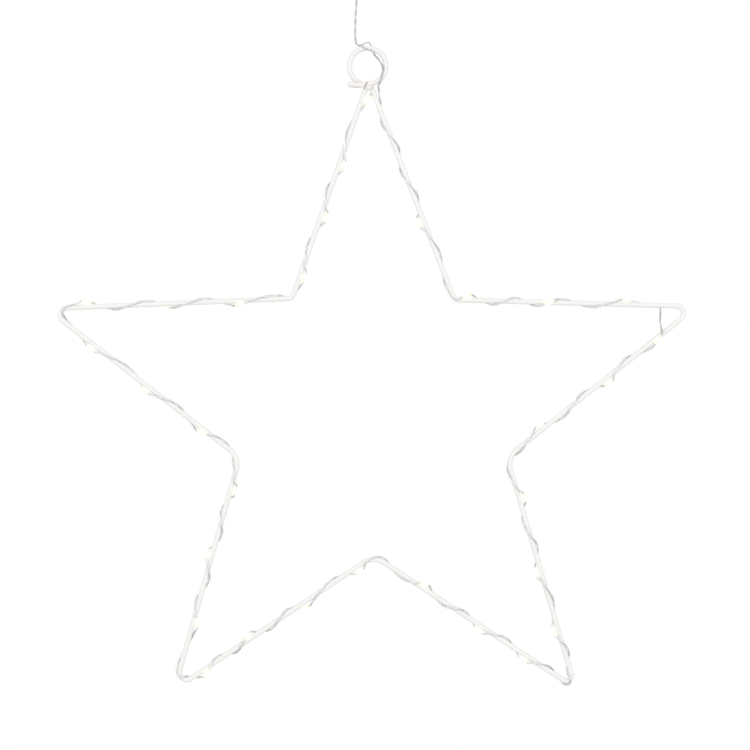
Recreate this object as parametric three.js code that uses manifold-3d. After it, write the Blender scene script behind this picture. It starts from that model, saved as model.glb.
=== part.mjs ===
// A lit wire star that hangs on its own lead, wound with a string of small LEDs and fed by two AA cells.
// Millimetres, +Z up, the star faces -Y. The origin is on the flat back of the battery case, which is
// what is fixed to a wall or window frame.
import * as THREE from "three";
import { mergeVertices } from "three/addons/utils/BufferGeometryUtils.js";
import Module from "manifold-3d";

const wasm = await Module();
wasm.setup();

// Gaps shared by the whole lamp.
const clearance = 0.3;
const overrun = 1;
const mergeTolerance = 0.0001;

// The star, along the middle of its wire.
const wireDiameter = 2.5;
const tipRadius = 164.5;
const notchRadius = 68;
const tipBend = 3.6;
const sharpTip = 4;
const sharpTipBend = 2.6;
const upperNotchBend = 3;
const lowerNotchBend = 9;
const cornerCount = 10;
// Hand bending: each corner's radius as a share of its nominal one, and its turn as a share of a step
// between corners, clockwise from the apex.
const cornerRadiusShares = [0.978, 0.994, 0.999, 0.998, 0.999, 1.005, 0.997, 0.996, 1.005, 1.001];
const cornerTurnShares = [0.022, 0.016, 0.011, 0.001, 0.012, 0.005, 0.005, 0.001, 0.003, -0.026];

// The hanging ring, which is the same wire's end, and the weld at its neck.
const ringInnerDiameter = 15.2;
const ringOffset = -0.4;
const neckDrop = 2.1;
const neckReach = 3.5;
const stubLength = 9.5;
const stubDrop = 0.1;
const weldRadius = 2;
const ringStartAngle = -90;
const ringEndAngle = 255;
const crossingSweep = 130;

// The light string: a pair of thin wires, taken as one cord, wound on the frame.
const cordDiameter = 1;
const windPitch = 28;
const windSlack = 0.5;
const windWave = 61;
const bulgeReach = 7;
const tailLength = 0.8;
const dropDiameter = 3;
const dropLength = 5.2;
// LED drops side by side: the share of the side where each sits, and the share of a turn round the wire
// (0 faces the star's middle, 0.25 the front, 0.5 outwards, 0.75 the back). One more ends the string,
// as high in the apex as it fits.
const ledShares = [
  [[0.64, 0]],
  [[0.05, 0.4], [0.388, 0.25], [0.714, 0.6]],
  [[0.214, 0.3], [0.48, 0.5], [0.81, 0.9]],
  [[0.18, 0.5], [0.491, 0], [0.749, 0]],
  [[0.245, 0.5], [0.469, 0.5], [0.763, 0.1]],
  [[0.085, 0.5], [0.356, 0.6], [0.623, 0.05], [0.845, 0.4]],
  [[0.296, 0.1], [0.579, 0.5], [0.861, 0]],
  [[0.184, 0.35], [0.479, 0.6], [0.758, 0.5]],
  [[0.163, 0.5], [0.477, 0.8], [0.787, 0.1]],
  [[0.102, 0], [0.379, 0], [0.615, 0]],
];
// Where the string passes over the bend of a tip, past its sharp corner. In the right tip it crosses free
// from side to side, this far before the corner and past it.
const tipPasses = { 4: -1.8, 6: 2.3, 8: 5.4 };
const freeTip = 2;
const crossingStart = 17.2;
const crossingEnd = 21.7;
const backShare = 0.75;
const frontShare = 0.25;
// The hitch on the ring: the angle on the ring in degrees, turns round the wire, share of the free lift.
const hitchShares = [
  [112, 0.5, 0],
  [88, 0.5, 2],
  [74, 0.75, 0],
  [57, 1, 1.4],
  [25, 1, 1.25],
  [-7, 1.11, 0.25],
  [-39, 1.21, 0],
  [-62, 1.5, 0],
];
const hitchLift = 0.6;
const neckWindStart = 10;
const neckWindShare = 1.5;
const entryRise = 4.5;
const entryOut = 2;

// The free lead between the hitch and the battery case.
const leadLength = 31;
const leadSway = 1.2;

// Two AA cells side by side.
const cellDiameter = 14.2;
const cellLength = 48.8;
const cellEdge = 0.8;
const cellNubDiameter = 5.4;
const cellNubHeight = 1.3;
const cellGap = 0.5;

// Battery contacts.
const plateThickness = 0.5;
const plateWidth = 9;
const tabWidth = 3;
const springHeight = 5;
const springWire = 0.6;
const springBaseRadius = 4;
const springTopRadius = 2.6;
const springTurns = 4;

// Battery case and covers.
const caseWall = 1.8;
const caseCorner = 3;
const coverThickness = 2.6;
const bayHeight = 15;
const grooveDepth = 0.9;
const tongueThickness = 0.9;
const gripRibHeight = 0.6;
const gripRibWidth = 1;
const gripRibLength = 14;
const gripRibPitch = 2.4;
const gripRibCount = 4;
const gripMargin = 5;

// Circuit bay: board, parts on it, switch and screws.
const boardRise = 8;
const boardWidth = 18;
const boardHeight = 11;
const boardThickness = 1;
const postWidth = 2;
const chipSize = [5, 1.5, 4];
const chipPlaceShares = [-0.25, -0.27];
const resistorDiameter = 1.9;
const resistorLength = 5;
const resistorPlaceShares = [0.25, -0.27];
const switchSize = [9, 4.4, 3.8];
const switchRise = 3;
const switchTravel = 4;
const knobWidth = 2.4;
const knobHeight = 2;
const knobStep = 0.8;
const knobSink = 2;
const screwShankDiameter = 1.7;
const screwHeadDiameter = 3.6;
const screwHeadHeight = 1;
const screwLength = 8;
const bossDiameter = 4.6;
const screwInset = 2.7;

// Strain relief where the lead leaves the case.
const gripFlangeDiameter = 6.4;
const gripFlangeThickness = 1.2;
const gripNeckDiameter = 4;
const gripCollarDiameter = 5.6;
const gripTipDiameter = 2.6;
const gripLength = 9;

// Facets.
const wireSides = 10;
const cordSides = 5;
const leadSides = 8;
const dropSides = 8;
const roundSides = 24;
const smallRoundSides = 12;
const walkStep = 0.4;
const frameTolerance = 0.06;
const cordTolerance = 0.16;
const springTolerance = 0.32;

// Finishes.
const whiteCoat = { color: 0xf2f2f0, roughness: 0.42, metalness: 0.05 };
const silverWire = { color: 0xb9bbbd, roughness: 0.32, metalness: 0.85 };
const clearResin = { color: 0xfff3c8, roughness: 0.12, metalness: 0 };
const whitePlastic = { color: 0xeeeeec, roughness: 0.5, metalness: 0 };
const greyPlastic = { color: 0x3c3f42, roughness: 0.55, metalness: 0 };
const softWhite = { color: 0xe2e2df, roughness: 0.7, metalness: 0 };
const cellJacket = { color: 0x6d7478, roughness: 0.4, metalness: 0.3 };
const nickel = { color: 0xc2c3c0, roughness: 0.3, metalness: 0.95 };
const boardGreen = { color: 0x2c6b45, roughness: 0.6, metalness: 0 };
const darkEpoxy = { color: 0x1d1e20, roughness: 0.5, metalness: 0 };
const tanCeramic = { color: 0xc9ab7c, roughness: 0.5, metalness: 0 };
const zincSteel = { color: 0xb4b6b8, roughness: 0.35, metalness: 0.9 };

const acrossY = new THREE.Vector3(0, 1, 0);
const towardsFront = new THREE.Vector3(0, -1, 0);
const upwards = new THREE.Vector3(0, 0, 1);

// Joins and cuts of closed shapes.
function solidOf(geometry) {
  const bare = geometry.clone();
  bare.deleteAttribute("normal");
  bare.deleteAttribute("uv");
  const merged = mergeVertices(bare, mergeTolerance);
  return new wasm.Manifold(
    new wasm.Mesh({
      numProp: 3,
      vertProperties: merged.attributes.position.array,
      triVerts: new Uint32Array(merged.index.array),
    }),
  );
}

function geometryOf(solid) {
  const mesh = solid.getMesh();
  const geometry = new THREE.BufferGeometry();
  geometry.setAttribute("position", new THREE.BufferAttribute(mesh.vertProperties, 3));
  geometry.setIndex(new THREE.BufferAttribute(mesh.triVerts, 1));
  geometry.computeVertexNormals();
  return geometry;
}

function fused(first, ...others) {
  return geometryOf(others.reduce((whole, next) => whole.add(solidOf(next)), solidOf(first)));
}

function carved(first, ...tools) {
  return geometryOf(tools.reduce((whole, next) => whole.subtract(solidOf(next)), solidOf(first)));
}

// A box between two corners.
function blockBetween(x0, x1, y0, y1, z0, z1) {
  const block = new THREE.BoxGeometry(x1 - x0, y1 - y0, z1 - z0);
  return block.translate((x0 + x1) / 2, (y0 + y1) / 2, (z0 + z1) / 2);
}

// A plate with round corners, its back at y = back, reaching forward by its depth.
function roundedPlate(x0, x1, z0, z1, corner, back, depth) {
  const shape = new THREE.Shape();
  shape.moveTo(x0 + corner, z0);
  shape.lineTo(x1 - corner, z0);
  shape.absarc(x1 - corner, z0 + corner, corner, -Math.PI / 2, 0);
  shape.lineTo(x1, z1 - corner);
  shape.absarc(x1 - corner, z1 - corner, corner, 0, Math.PI / 2);
  shape.lineTo(x0 + corner, z1);
  shape.absarc(x0 + corner, z1 - corner, corner, Math.PI / 2, Math.PI);
  shape.lineTo(x0, z0 + corner);
  shape.absarc(x0 + corner, z0 + corner, corner, Math.PI, 1.5 * Math.PI);
  const plate = new THREE.ExtrudeGeometry(shape, { depth, bevelEnabled: false, curveSegments: 4 });
  return plate.rotateX(Math.PI / 2).translate(0, back, 0);
}

// A turned piece: radius and height pairs, its axis along Z unless a direction is given.
function turned(profile, sides, direction = upwards) {
  const points = profile.map(([radius, height]) => new THREE.Vector2(radius, height));
  const piece = new THREE.LatheGeometry(points, sides);
  return piece.applyQuaternion(new THREE.Quaternion().setFromUnitVectors(acrossY, direction));
}

// A line through hand-picked stations, which the extrusion visits one by one.
class StationRoute extends THREE.Curve {
  constructor(stations) {
    super();
    this.stations = stations;
  }

  getPointAt(share, target = new THREE.Vector3()) {
    return target.copy(this.stations[Math.round(share * (this.stations.length - 1))]);
  }

  getTangentAt(share, target = new THREE.Vector3()) {
    const last = this.stations.length - 1;
    const k = Math.round(share * last);
    const here = this.stations[k];
    const before = this.stations[Math.max(k - 1, 0)];
    const after = this.stations[Math.min(k + 1, last)];
    const into = here.clone().sub(before).normalize();
    return target.copy(after).sub(here).normalize().add(into).normalize();
  }
}

// Keeps only the stations that hold the line within the tolerance.
function thinned(points, tolerance) {
  const last = points.length - 1;
  const chord = new THREE.Line3(points[0], points[last]);
  const foot = new THREE.Vector3();
  let worst = 0;
  let index = 0;
  for (let k = 1; k < last; k += 1) {
    const off = chord.closestPointToPoint(points[k], true, foot).distanceTo(points[k]);
    if (off > worst) {
      worst = off;
      index = k;
    }
  }
  if (worst <= tolerance) return [points[0], points[last]];
  const head = thinned(points.slice(0, index + 1), tolerance);
  return head.concat(thinned(points.slice(index), tolerance).slice(1));
}

function tubeAlong(stations, diameter, sides) {
  const section = new THREE.Shape();
  for (let k = 0; k < sides; k += 1) {
    const angle = (2 * Math.PI * k) / sides;
    const x = (diameter / 2) * Math.cos(angle);
    const y = (diameter / 2) * Math.sin(angle);
    if (k === 0) section.moveTo(x, y);
    else section.lineTo(x, y);
  }
  return new THREE.ExtrudeGeometry(section, {
    steps: stations.length - 1,
    bevelEnabled: false,
    extrudePath: new StationRoute(stations),
  });
}

// The least free gap of a wound wire to itself, leaving out neighbours nearer than a few diameters along it.
function leastGap(points, diameter) {
  const skip = 4 * diameter;
  const along = [0];
  for (let k = 1; k < points.length; k += 1) {
    along.push(along[k - 1] + points[k].distanceTo(points[k - 1]));
  }
  let least = Infinity;
  for (let a = 0; a < points.length; a += 1) {
    for (let b = a + 1; b < points.length; b += 1) {
      if (along[b] - along[a] > skip) least = Math.min(least, points[a].distanceTo(points[b]));
    }
  }
  return { gap: least - diameter, length: along[points.length - 1] };
}

function piece(name, geometry, finish, parent) {
  const mesh = new THREE.Mesh(geometry, new THREE.MeshStandardMaterial(finish));
  mesh.name = name;
  parent.add(mesh);
  return mesh;
}

const degrees = (angle) => (angle * Math.PI) / 180;
const smooth = (share) => share * share * (3 - 2 * share);

// The frame's corners, sides and bends, in the star's own plane, clockwise from the apex.
const corners = cornerRadiusShares.map((share, k) => {
  const radius = share * (k % 2 ? notchRadius : tipRadius);
  const angle = Math.PI / 2 - ((2 * Math.PI) / cornerCount) * (k - cornerTurnShares[k]);
  return new THREE.Vector3(radius * Math.cos(angle), 0, radius * Math.sin(angle));
});
const sides = corners.map((start, k) => {
  const end = corners[(k + 1) % cornerCount];
  return { start, end, along: end.clone().sub(start).normalize(), length: end.distanceTo(start) };
});
const sideStarts = [0];
sides.forEach((side, k) => sideStarts.push(sideStarts[k] + side.length));
const perimeter = sideStarts[cornerCount];

function bendRadius(k) {
  if (k % 2 === 0) return k === sharpTip ? sharpTipBend : tipBend;
  return k === 1 || k === cornerCount - 1 ? upperNotchBend : lowerNotchBend;
}

const bends = corners.map((corner, k) => {
  if (k === 0) return null;
  const before = sides[k - 1].along;
  const after = sides[k].along;
  const turn = Math.atan2(before.z * after.x - before.x * after.z, before.dot(after));
  const radius = bendRadius(k);
  const reach = radius * Math.tan(Math.abs(turn) / 2);
  const aside = after.clone().sub(before).normalize();
  const centre = corner.clone().addScaledVector(aside, radius / Math.cos(turn / 2));
  const entry = corner.clone().addScaledVector(before, -reach);
  return { turn, reach, centre, before, spoke: entry.sub(centre) };
});

// The middle of the frame wire at a distance along the sides, its direction, and the side facing inwards.
function frameAt(distance) {
  let k = 0;
  while (k < cornerCount - 1 && distance > sideStarts[k + 1]) k += 1;
  const side = sides[k];
  const past = distance - sideStarts[k];
  const first = past < side.length / 2;
  const bend = first ? bends[k] : bends[k + 1];
  const offset = first ? past : past - side.length;
  const place = side.start.clone().addScaledVector(side.along, past);
  const along = side.along.clone();
  if (bend && Math.abs(offset) < bend.reach) {
    const angle = (bend.turn * (offset / bend.reach + 1)) / 2;
    along.copy(bend.before).applyAxisAngle(acrossY, angle);
    place.copy(bend.spoke).applyAxisAngle(acrossY, angle).add(bend.centre);
  }
  return { place, along, inward: new THREE.Vector3(along.z, 0, -along.x) };
}

// The ring stands on the neck, and its first quarter swings forward so that the wire can cross itself.
const ringRadius = (ringInnerDiameter + wireDiameter) / 2;
const ringCentre = corners[0].clone();
ringCentre.x += ringOffset;
ringCentre.z += ringRadius - neckDrop;
const crossingDepth = wireDiameter + clearance;

function ringAt(angle) {
  const swept = (angle - degrees(ringStartAngle)) / degrees(crossingSweep);
  const forward = crossingDepth * (1 - smooth(Math.min(Math.max(swept, 0), 1)));
  const spoke = new THREE.Vector3(Math.cos(angle), 0, Math.sin(angle));
  const place = ringCentre.clone().addScaledVector(spoke, ringRadius);
  place.addScaledVector(towardsFront, forward);
  return { place, along: new THREE.Vector3(spoke.z, 0, -spoke.x), inward: spoke.negate() };
}

// The frame: stub, ring, neck and the ten sides are one wire. A weld at the apex joins the last side to
// the neck and to the crossing in front of it.
const apexAngle = sides[0].along.angleTo(sides[cornerCount - 1].along.clone().negate());
const neckStop = (wireDiameter + clearance) / (2 * Math.sin(apexAngle / 2));
const weldPlace = frameAt(neckStop).place.add(frameAt(perimeter - neckStop).place).divideScalar(2);
const weldFoot = weldPlace.z - wireDiameter / 2;

function frameWire() {
  const points = [];
  const ringBottom = ringAt(degrees(ringStartAngle)).place;
  const stubEnd = ringBottom.clone();
  stubEnd.x -= stubLength;
  stubEnd.z -= stubDrop;
  points.push(stubEnd);
  const ringTurn = walkStep / ringRadius;
  for (let angle = degrees(ringStartAngle); angle < degrees(ringEndAngle); angle += ringTurn) {
    points.push(ringAt(angle).place);
  }
  const ringEnd = ringAt(degrees(ringEndAngle));
  const sideEntry = frameAt(neckReach);
  const handle = ringEnd.place.distanceTo(sideEntry.place) / 2;
  const neck = new THREE.CubicBezierCurve3(
    ringEnd.place,
    ringEnd.place.clone().addScaledVector(ringEnd.along, -handle),
    sideEntry.place.clone().addScaledVector(sideEntry.along, -handle),
    sideEntry.place,
  );
  points.push(...neck.getPoints(smallRoundSides));
  for (let d = neckReach + walkStep; d < perimeter - neckStop; d += walkStep) {
    points.push(frameAt(d).place);
  }
  const wire = tubeAlong(thinned(points, frameTolerance), wireDiameter, wireSides);
  const weld = new THREE.SphereGeometry(weldRadius, smallRoundSides, smallRoundSides / 2);
  weld.scale(1, 1, (ringBottom.z - weldFoot) / (2 * weldRadius));
  weld.translate(weldPlace.x, -crossingDepth / 2, (ringBottom.z + weldFoot) / 2);
  return fused(wire, weld);
}

// The string's waypoints: where it lies along the frame, how many turns it has made, how far it stands off.
const tightRadius = wireDiameter / 2 + clearance + cordDiameter / 2;
const dropLift = (dropDiameter - cordDiameter) / 2;
const crossingLift = dropLift / 2;

// The last drop clears the other side of the apex, and the string's end beyond it clears the weld.
const dropHold = dropLength / 2 + clearance;
const dropStand = tightRadius + dropLift;
const apexReach = Math.max(
  ((wireDiameter + dropDiameter) / 2 + clearance + dropStand * Math.cos(apexAngle)) / Math.sin(apexAngle),
  (corners[0].z - weldFoot + dropHold + tailLength) / Math.cos(apexAngle / 2),
);

function waypoints() {
  const list = hitchShares.map(([angle, turns, lift]) => ({
    guide: ringAt(degrees(angle)),
    angle: degrees(angle),
    turns,
    lift: lift * hitchLift,
  }));
  let turns = neckWindShare;
  let last = neckWindStart;
  list.push({ guide: frameAt(last), along: last, turns, lift: 0, jump: true });
  const wind = (along, share, extra) => {
    const part = (((share - turns) % 1) + 1) % 1;
    turns += part + Math.max(0, Math.round((along - last) / windPitch - part));
    last = along;
    list.push({ guide: frameAt(along), along, turns, lift: 0, ...extra });
  };
  ledShares.forEach((places, k) => {
    if (k === freeTip) {
      wind(sideStarts[k] - crossingStart, backShare, { lift: crossingLift });
      last = sideStarts[k] + crossingEnd;
      turns += 1 + frontShare - backShare;
      list.push({ guide: frameAt(last), along: last, turns, lift: crossingLift, jump: true });
    }
    if (k in tipPasses) wind(sideStarts[k] + tipPasses[k], frontShare);
    places.forEach(([share, side]) => {
      wind(sideStarts[k] + share * sides[k].length, side, { lift: dropLift, led: true });
    });
  });
  wind(perimeter - apexReach, 0, { lift: dropLift, led: true });
  return list;
}

function standOff(guide, turns, radius) {
  const angle = 2 * Math.PI * turns;
  const place = guide.place.clone().addScaledVector(guide.inward, radius * Math.cos(angle));
  return place.addScaledVector(towardsFront, radius * Math.sin(angle));
}

const swell = (share) => (share <= 0 ? 0 : smooth(share));

// A place on the string between two waypoints.
function between(a, b, share) {
  const turns = a.turns + (b.turns - a.turns) * share;
  if (b.along === undefined) {
    const guide = ringAt(a.angle + (b.angle - a.angle) * share);
    return standOff(guide, turns, tightRadius + a.lift + (b.lift - a.lift) * share);
  }
  const span = b.along - a.along;
  const along = a.along + span * share;
  const nearA = a.lift * swell(1 - (share * span) / bulgeReach);
  const nearB = b.lift * swell(1 - ((1 - share) * span) / bulgeReach);
  const loose = (windSlack * (1 + Math.sin((2 * Math.PI * along) / windWave))) / 2;
  const calm = Math.min(1, Math.min(share, 1 - share) * 3);
  return standOff(frameAt(along), turns, tightRadius + nearA + nearB + loose * calm);
}

// The string runs straight through each drop, whose resin holds it.
function stringRoute() {
  const list = waypoints();
  const leds = [];
  const start = standOff(list[0].guide, list[0].turns, tightRadius);
  const heading = between(list[0], list[1], 1 / smallRoundSides).sub(start).normalize();
  const entryTop = new THREE.Vector3(start.x - entryOut, 0, start.z + entryRise);
  const handle = entryTop.distanceTo(start) / 3;
  const entry = new THREE.CubicBezierCurve3(
    entryTop,
    entryTop.clone().addScaledVector(upwards, -handle),
    start.clone().addScaledVector(heading, -handle),
    start,
  );
  const points = entry.getPoints(smallRoundSides);
  for (let k = 1; k < list.length; k += 1) {
    const a = list[k - 1];
    const b = list[k];
    if (!b.jump) {
      const span = b.along === undefined ? (a.angle - b.angle) * ringRadius : b.along - a.along;
      const count = Math.ceil((span * 2) / walkStep);
      for (let n = 1; n < count; n += 1) {
        const fromA = (span * n) / count;
        const clearOfA = !a.led || fromA > dropHold + cordDiameter;
        const clearOfB = !b.led || span - fromA > dropHold + cordDiameter;
        if (clearOfA && clearOfB) points.push(between(a, b, n / count));
      }
    }
    const place = standOff(b.guide, b.turns, tightRadius + b.lift);
    if (b.led) {
      const before = between(a, b, 1 - 1 / smallRoundSides);
      const direction = place.clone().sub(before);
      if (list[k + 1]) direction.add(between(b, list[k + 1], 1 / smallRoundSides).sub(place));
      direction.normalize();
      leds.push({ place, direction });
      points.push(place.clone().addScaledVector(direction, -dropHold));
      points.push(place.clone().addScaledVector(direction, dropHold));
    } else {
      points.push(place);
    }
  }
  points[points.length - 1].addScaledVector(leds[leds.length - 1].direction, tailLength);
  return { points: thinned(points, cordTolerance), leds, entryTop };
}

// A clear resin bead with a bore for the pair of wires.
function ledDrop(direction) {
  const bore = cordDiameter / 2 + clearance;
  const half = dropLength / 2;
  const reach = Math.acos(bore / (dropDiameter / 2));
  const rings = dropSides - 2;
  const profile = [];
  for (let k = 0; k <= rings; k += 1) {
    const angle = reach * ((2 * k) / rings - 1);
    profile.push([(dropDiameter / 2) * Math.cos(angle), half * Math.sin(angle)]);
  }
  profile.push(profile[0]);
  return turned(profile, dropSides, direction);
}

const lamp = new THREE.Group();
const star = new THREE.Group();
const box = new THREE.Group();
lamp.add(star, box);

const lightString = stringRoute();
piece("star_frame", frameWire(), whiteCoat, star);
piece("light_string", tubeAlong(lightString.points, cordDiameter, cordSides), silverWire, star);
lightString.leds.forEach(({ place, direction }, k) => {
  const drop = piece("led_drop_" + String(k + 1).padStart(2, "0"), ledDrop(direction), clearResin, star);
  drop.position.copy(place);
});

// The battery case, from its own sizes. Its cells stand side by side with the left one's nub down.
const innerWidth = 2 * cellDiameter + 3 * cellGap;
const caseWidth = innerWidth + 2 * caseWall;
const caseDepth = caseWall + cellDiameter + 2 * cellGap + coverThickness;
const coverBack = -(caseDepth - coverThickness);
const contactRoom = 2 * clearance + plateThickness;
const roomHeight = 2 * contactRoom + clearance + springHeight + cellLength + cellNubHeight;
const caseHeight = roomHeight + bayHeight + 3 * caseWall;
const caseBottom = -caseHeight / 2;
const bayFloor = caseBottom + caseWall;
const bayTop = bayFloor + bayHeight;
const roomFloor = bayTop + caseWall;
const roomTop = roomFloor + roomHeight;
const caseTop = caseHeight / 2;
const cellSide = (cellDiameter + cellGap) / 2;
const cellPlane = -(caseWall + cellGap + cellDiameter / 2);
const bayMiddle = (bayFloor + bayTop) / 2;
const boardBack = -(caseWall + boardRise);
const boardFront = boardBack - boardThickness;
const leadPlane = boardBack + clearance + cordDiameter / 2;
const tabPlane = boardBack + clearance + plateThickness / 2;
const screwPlace = innerWidth / 2 - screwInset;
const knobRest = -switchTravel / 2;
const coverJoin = bayTop + caseWall / 2;
const inner = innerWidth / 2;
const outer = caseWidth / 2;
const tongueBack = coverBack - clearance;
const tongueFront = tongueBack - tongueThickness;

function batteryCase() {
  const body = roundedPlate(-outer, outer, caseBottom, caseTop, caseCorner, 0, caseDepth);
  const room = blockBetween(-inner, inner, coverBack, -caseWall, roomFloor, roomTop);
  const bay = blockBetween(-inner, inner, coverBack, -caseWall, bayFloor, bayTop);
  const coverRoom = blockBetween(
    -inner, inner, -(caseDepth + overrun), coverBack, caseBottom - overrun, caseTop + overrun,
  );
  const grooveReach = inner + grooveDepth;
  const groove = blockBetween(
    -grooveReach, grooveReach, tongueFront - clearance, coverBack, coverJoin, caseTop + overrun,
  );
  const tabReach = tabWidth / 2 + clearance;
  const tabSlots = [-cellSide, cellSide].map((x) => blockBetween(
    x - tabReach, x + tabReach,
    tabPlane - plateThickness / 2 - clearance, tabPlane + plateThickness / 2 + clearance,
    bayTop - overrun, roomFloor + overrun,
  ));
  const gripRadius = gripNeckDiameter / 2 + clearance;
  const gripHole = turned(
    [[0, -overrun], [gripRadius, -overrun], [gripRadius, caseWall + overrun], [0, caseWall + overrun]],
    smallRoundSides,
  ).translate(0, leadPlane, caseBottom);
  const shell = carved(body, room, bay, coverRoom, groove, ...tabSlots, gripHole);
  const posts = [-1, 1].map((hand) => {
    const x = (hand * cellSide) / 2;
    return blockBetween(
      x - postWidth / 2, x + postWidth / 2,
      boardBack + clearance, -caseWall + overrun / 2,
      bayMiddle - boardHeight / 2, bayMiddle + boardHeight / 2,
    );
  });
  const bossHeight = -coverBack - clearance - caseWall / 2;
  const bosses = [-1, 1].map((hand) => turned(
    [[0, 0], [bossDiameter / 2, 0], [bossDiameter / 2, bossHeight], [0, bossHeight]],
    smallRoundSides, towardsFront,
  ).translate(hand * screwPlace, -caseWall / 2, bayMiddle));
  const pilot = screwShankDiameter / 2 + clearance;
  const pilotFloor = caseDepth - screwLength - clearance;
  const pilots = [-1, 1].map((hand) => turned(
    [[0, pilotFloor], [pilot, pilotFloor], [pilot, caseDepth], [0, caseDepth]],
    smallRoundSides, towardsFront,
  ).translate(hand * screwPlace, 0, bayMiddle));
  return carved(fused(shell, ...posts, ...bosses), ...pilots);
}

// The whole front, which the join divides into the sliding cover and the screwed one.
function frontPlate() {
  return roundedPlate(
    -inner + clearance, inner - clearance, caseBottom, caseTop,
    caseCorner - caseWall - clearance, tongueBack, caseDepth + tongueBack,
  );
}

function batteryCover() {
  const joinEdge = coverJoin + clearance / 2;
  const below = blockBetween(
    -outer, outer, -(caseDepth + overrun), 0, caseBottom - overrun, joinEdge,
  );
  const reach = inner + grooveDepth - clearance;
  const tongue = blockBetween(
    -reach, reach, tongueFront, tongueBack, joinEdge, caseTop - caseCorner / 2,
  );
  const ribs = Array.from({ length: gripRibCount }, (unused, k) => {
    const z = coverJoin + gripMargin + k * gripRibPitch;
    return blockBetween(
      -gripRibLength / 2, gripRibLength / 2, -caseDepth - gripRibHeight, -caseDepth + gripRibHeight,
      z, z + gripRibWidth,
    );
  });
  return fused(carved(frontPlate(), below), tongue, ...ribs);
}

function circuitCover() {
  const above = blockBetween(
    -outer, outer, -(caseDepth + overrun), 0, coverJoin - clearance / 2, caseTop + overrun,
  );
  const slotReach = (knobWidth + switchTravel) / 2 + clearance;
  const slot = blockBetween(
    -slotReach, slotReach, -caseDepth - overrun, coverBack + overrun,
    bayMiddle + switchRise - knobHeight / 2 - clearance,
    bayMiddle + switchRise + knobHeight / 2 + clearance,
  );
  const holeRadius = screwShankDiameter / 2 + clearance;
  const holes = [-1, 1].map((hand) => turned(
    [[0, -overrun], [holeRadius, -overrun], [holeRadius, coverThickness + overrun],
      [0, coverThickness + overrun]],
    smallRoundSides, towardsFront,
  ).translate(hand * screwPlace, coverBack, bayMiddle));
  return carved(frontPlate(), above, slot, ...holes);
}

function screw() {
  const head = screwHeadDiameter / 2;
  const shank = screwShankDiameter / 2;
  const under = -clearance;
  return turned(
    [[0, under - screwLength], [shank, under - screwLength + shank], [shank, under],
      [shank, clearance / 2], [head, clearance / 2], [head, screwHeadHeight / 2],
      [head / 2, screwHeadHeight], [0, screwHeadHeight]],
    smallRoundSides, towardsFront,
  );
}

function cell() {
  const radius = cellDiameter / 2;
  const nub = cellNubDiameter / 2;
  return turned(
    [[0, 0], [radius - cellEdge, 0], [radius, cellEdge], [radius, cellLength - cellEdge],
      [radius - cellEdge, cellLength], [nub, cellLength],
      [nub, cellLength + cellNubHeight - cellEdge / 2],
      [nub - cellEdge / 2, cellLength + cellNubHeight], [0, cellLength + cellNubHeight]],
    roundSides,
  );
}

// A contact plate lying flat, with a tab down through the divider to the board.
function contactPlate(x) {
  const plate = blockBetween(
    x - plateWidth / 2, x + plateWidth / 2, cellPlane - plateWidth / 2, cellPlane + plateWidth / 2,
    roomFloor + clearance, roomFloor + clearance + plateThickness,
  );
  const tab = blockBetween(
    x - tabWidth / 2, x + tabWidth / 2, tabPlane - plateThickness / 2, tabPlane + plateThickness / 2,
    bayMiddle, roomFloor + clearance + plateThickness,
  );
  return fused(plate, tab);
}

function linkContact() {
  const reach = cellSide + plateWidth / 2;
  return blockBetween(
    -reach, reach, cellPlane - plateWidth / 2, cellPlane + plateWidth / 2,
    roomTop - clearance - plateThickness, roomTop - clearance,
  );
}

// A conical spring, its wide end at height zero.
function springPoints() {
  const points = [];
  const count = springTurns * roundSides;
  for (let k = 0; k <= count; k += 1) {
    const share = k / count;
    const angle = 2 * Math.PI * springTurns * share;
    const radius = springBaseRadius + (springTopRadius - springBaseRadius) * share;
    const height = springWire / 2 + (springHeight - springWire) * share;
    points.push(new THREE.Vector3(radius * Math.cos(angle), radius * Math.sin(angle), height));
  }
  return thinned(points, springTolerance);
}

function grommet() {
  const bore = cordDiameter / 2 + clearance;
  const neck = gripNeckDiameter / 2;
  const flange = gripFlangeDiameter / 2;
  const collar = gripCollarDiameter / 2;
  const tip = gripTipDiameter / 2;
  const top = caseWall + clearance;
  return turned(
    [[bore, -gripLength], [tip, -gripLength], [collar, -gripLength / 3], [collar, -clearance],
      [neck, -clearance], [neck, top], [flange, top], [flange, top + gripFlangeThickness],
      [bore, top + gripFlangeThickness], [bore, -gripLength]],
    smallRoundSides,
  );
}

piece("battery_case", batteryCase(), whitePlastic, box);
piece("battery_cover", batteryCover(), whitePlastic, box);
piece("circuit_cover", circuitCover(), whitePlastic, box);
[["circuit_screw_left", -1], ["circuit_screw_right", 1]].forEach(([name, hand]) => {
  piece(name, screw(), zincSteel, box).position.set(hand * screwPlace, -caseDepth, bayMiddle);
});

const leftCell = piece("cell_left", cell(), cellJacket, box);
leftCell.rotation.x = Math.PI;
leftCell.position.set(
  -cellSide, cellPlane, roomFloor + contactRoom + cellNubHeight + cellLength,
);
const rightFoot = roomFloor + contactRoom + springHeight + clearance;
piece("cell_right", cell(), cellJacket, box).position.set(cellSide, cellPlane, rightFoot);

piece("positive_contact", contactPlate(-cellSide), nickel, box);
piece("negative_contact", contactPlate(cellSide), nickel, box);
piece("link_contact", linkContact(), nickel, box);
const springLine = springPoints();
const spring = tubeAlong(springLine, springWire, cordSides);
piece("spring_right", spring, nickel, box).position.set(cellSide, cellPlane, roomFloor + contactRoom);
const leftSpring = piece("spring_left", spring.clone(), nickel, box);
leftSpring.rotation.x = Math.PI;
leftSpring.position.set(-cellSide, cellPlane, roomTop - contactRoom);

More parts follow.
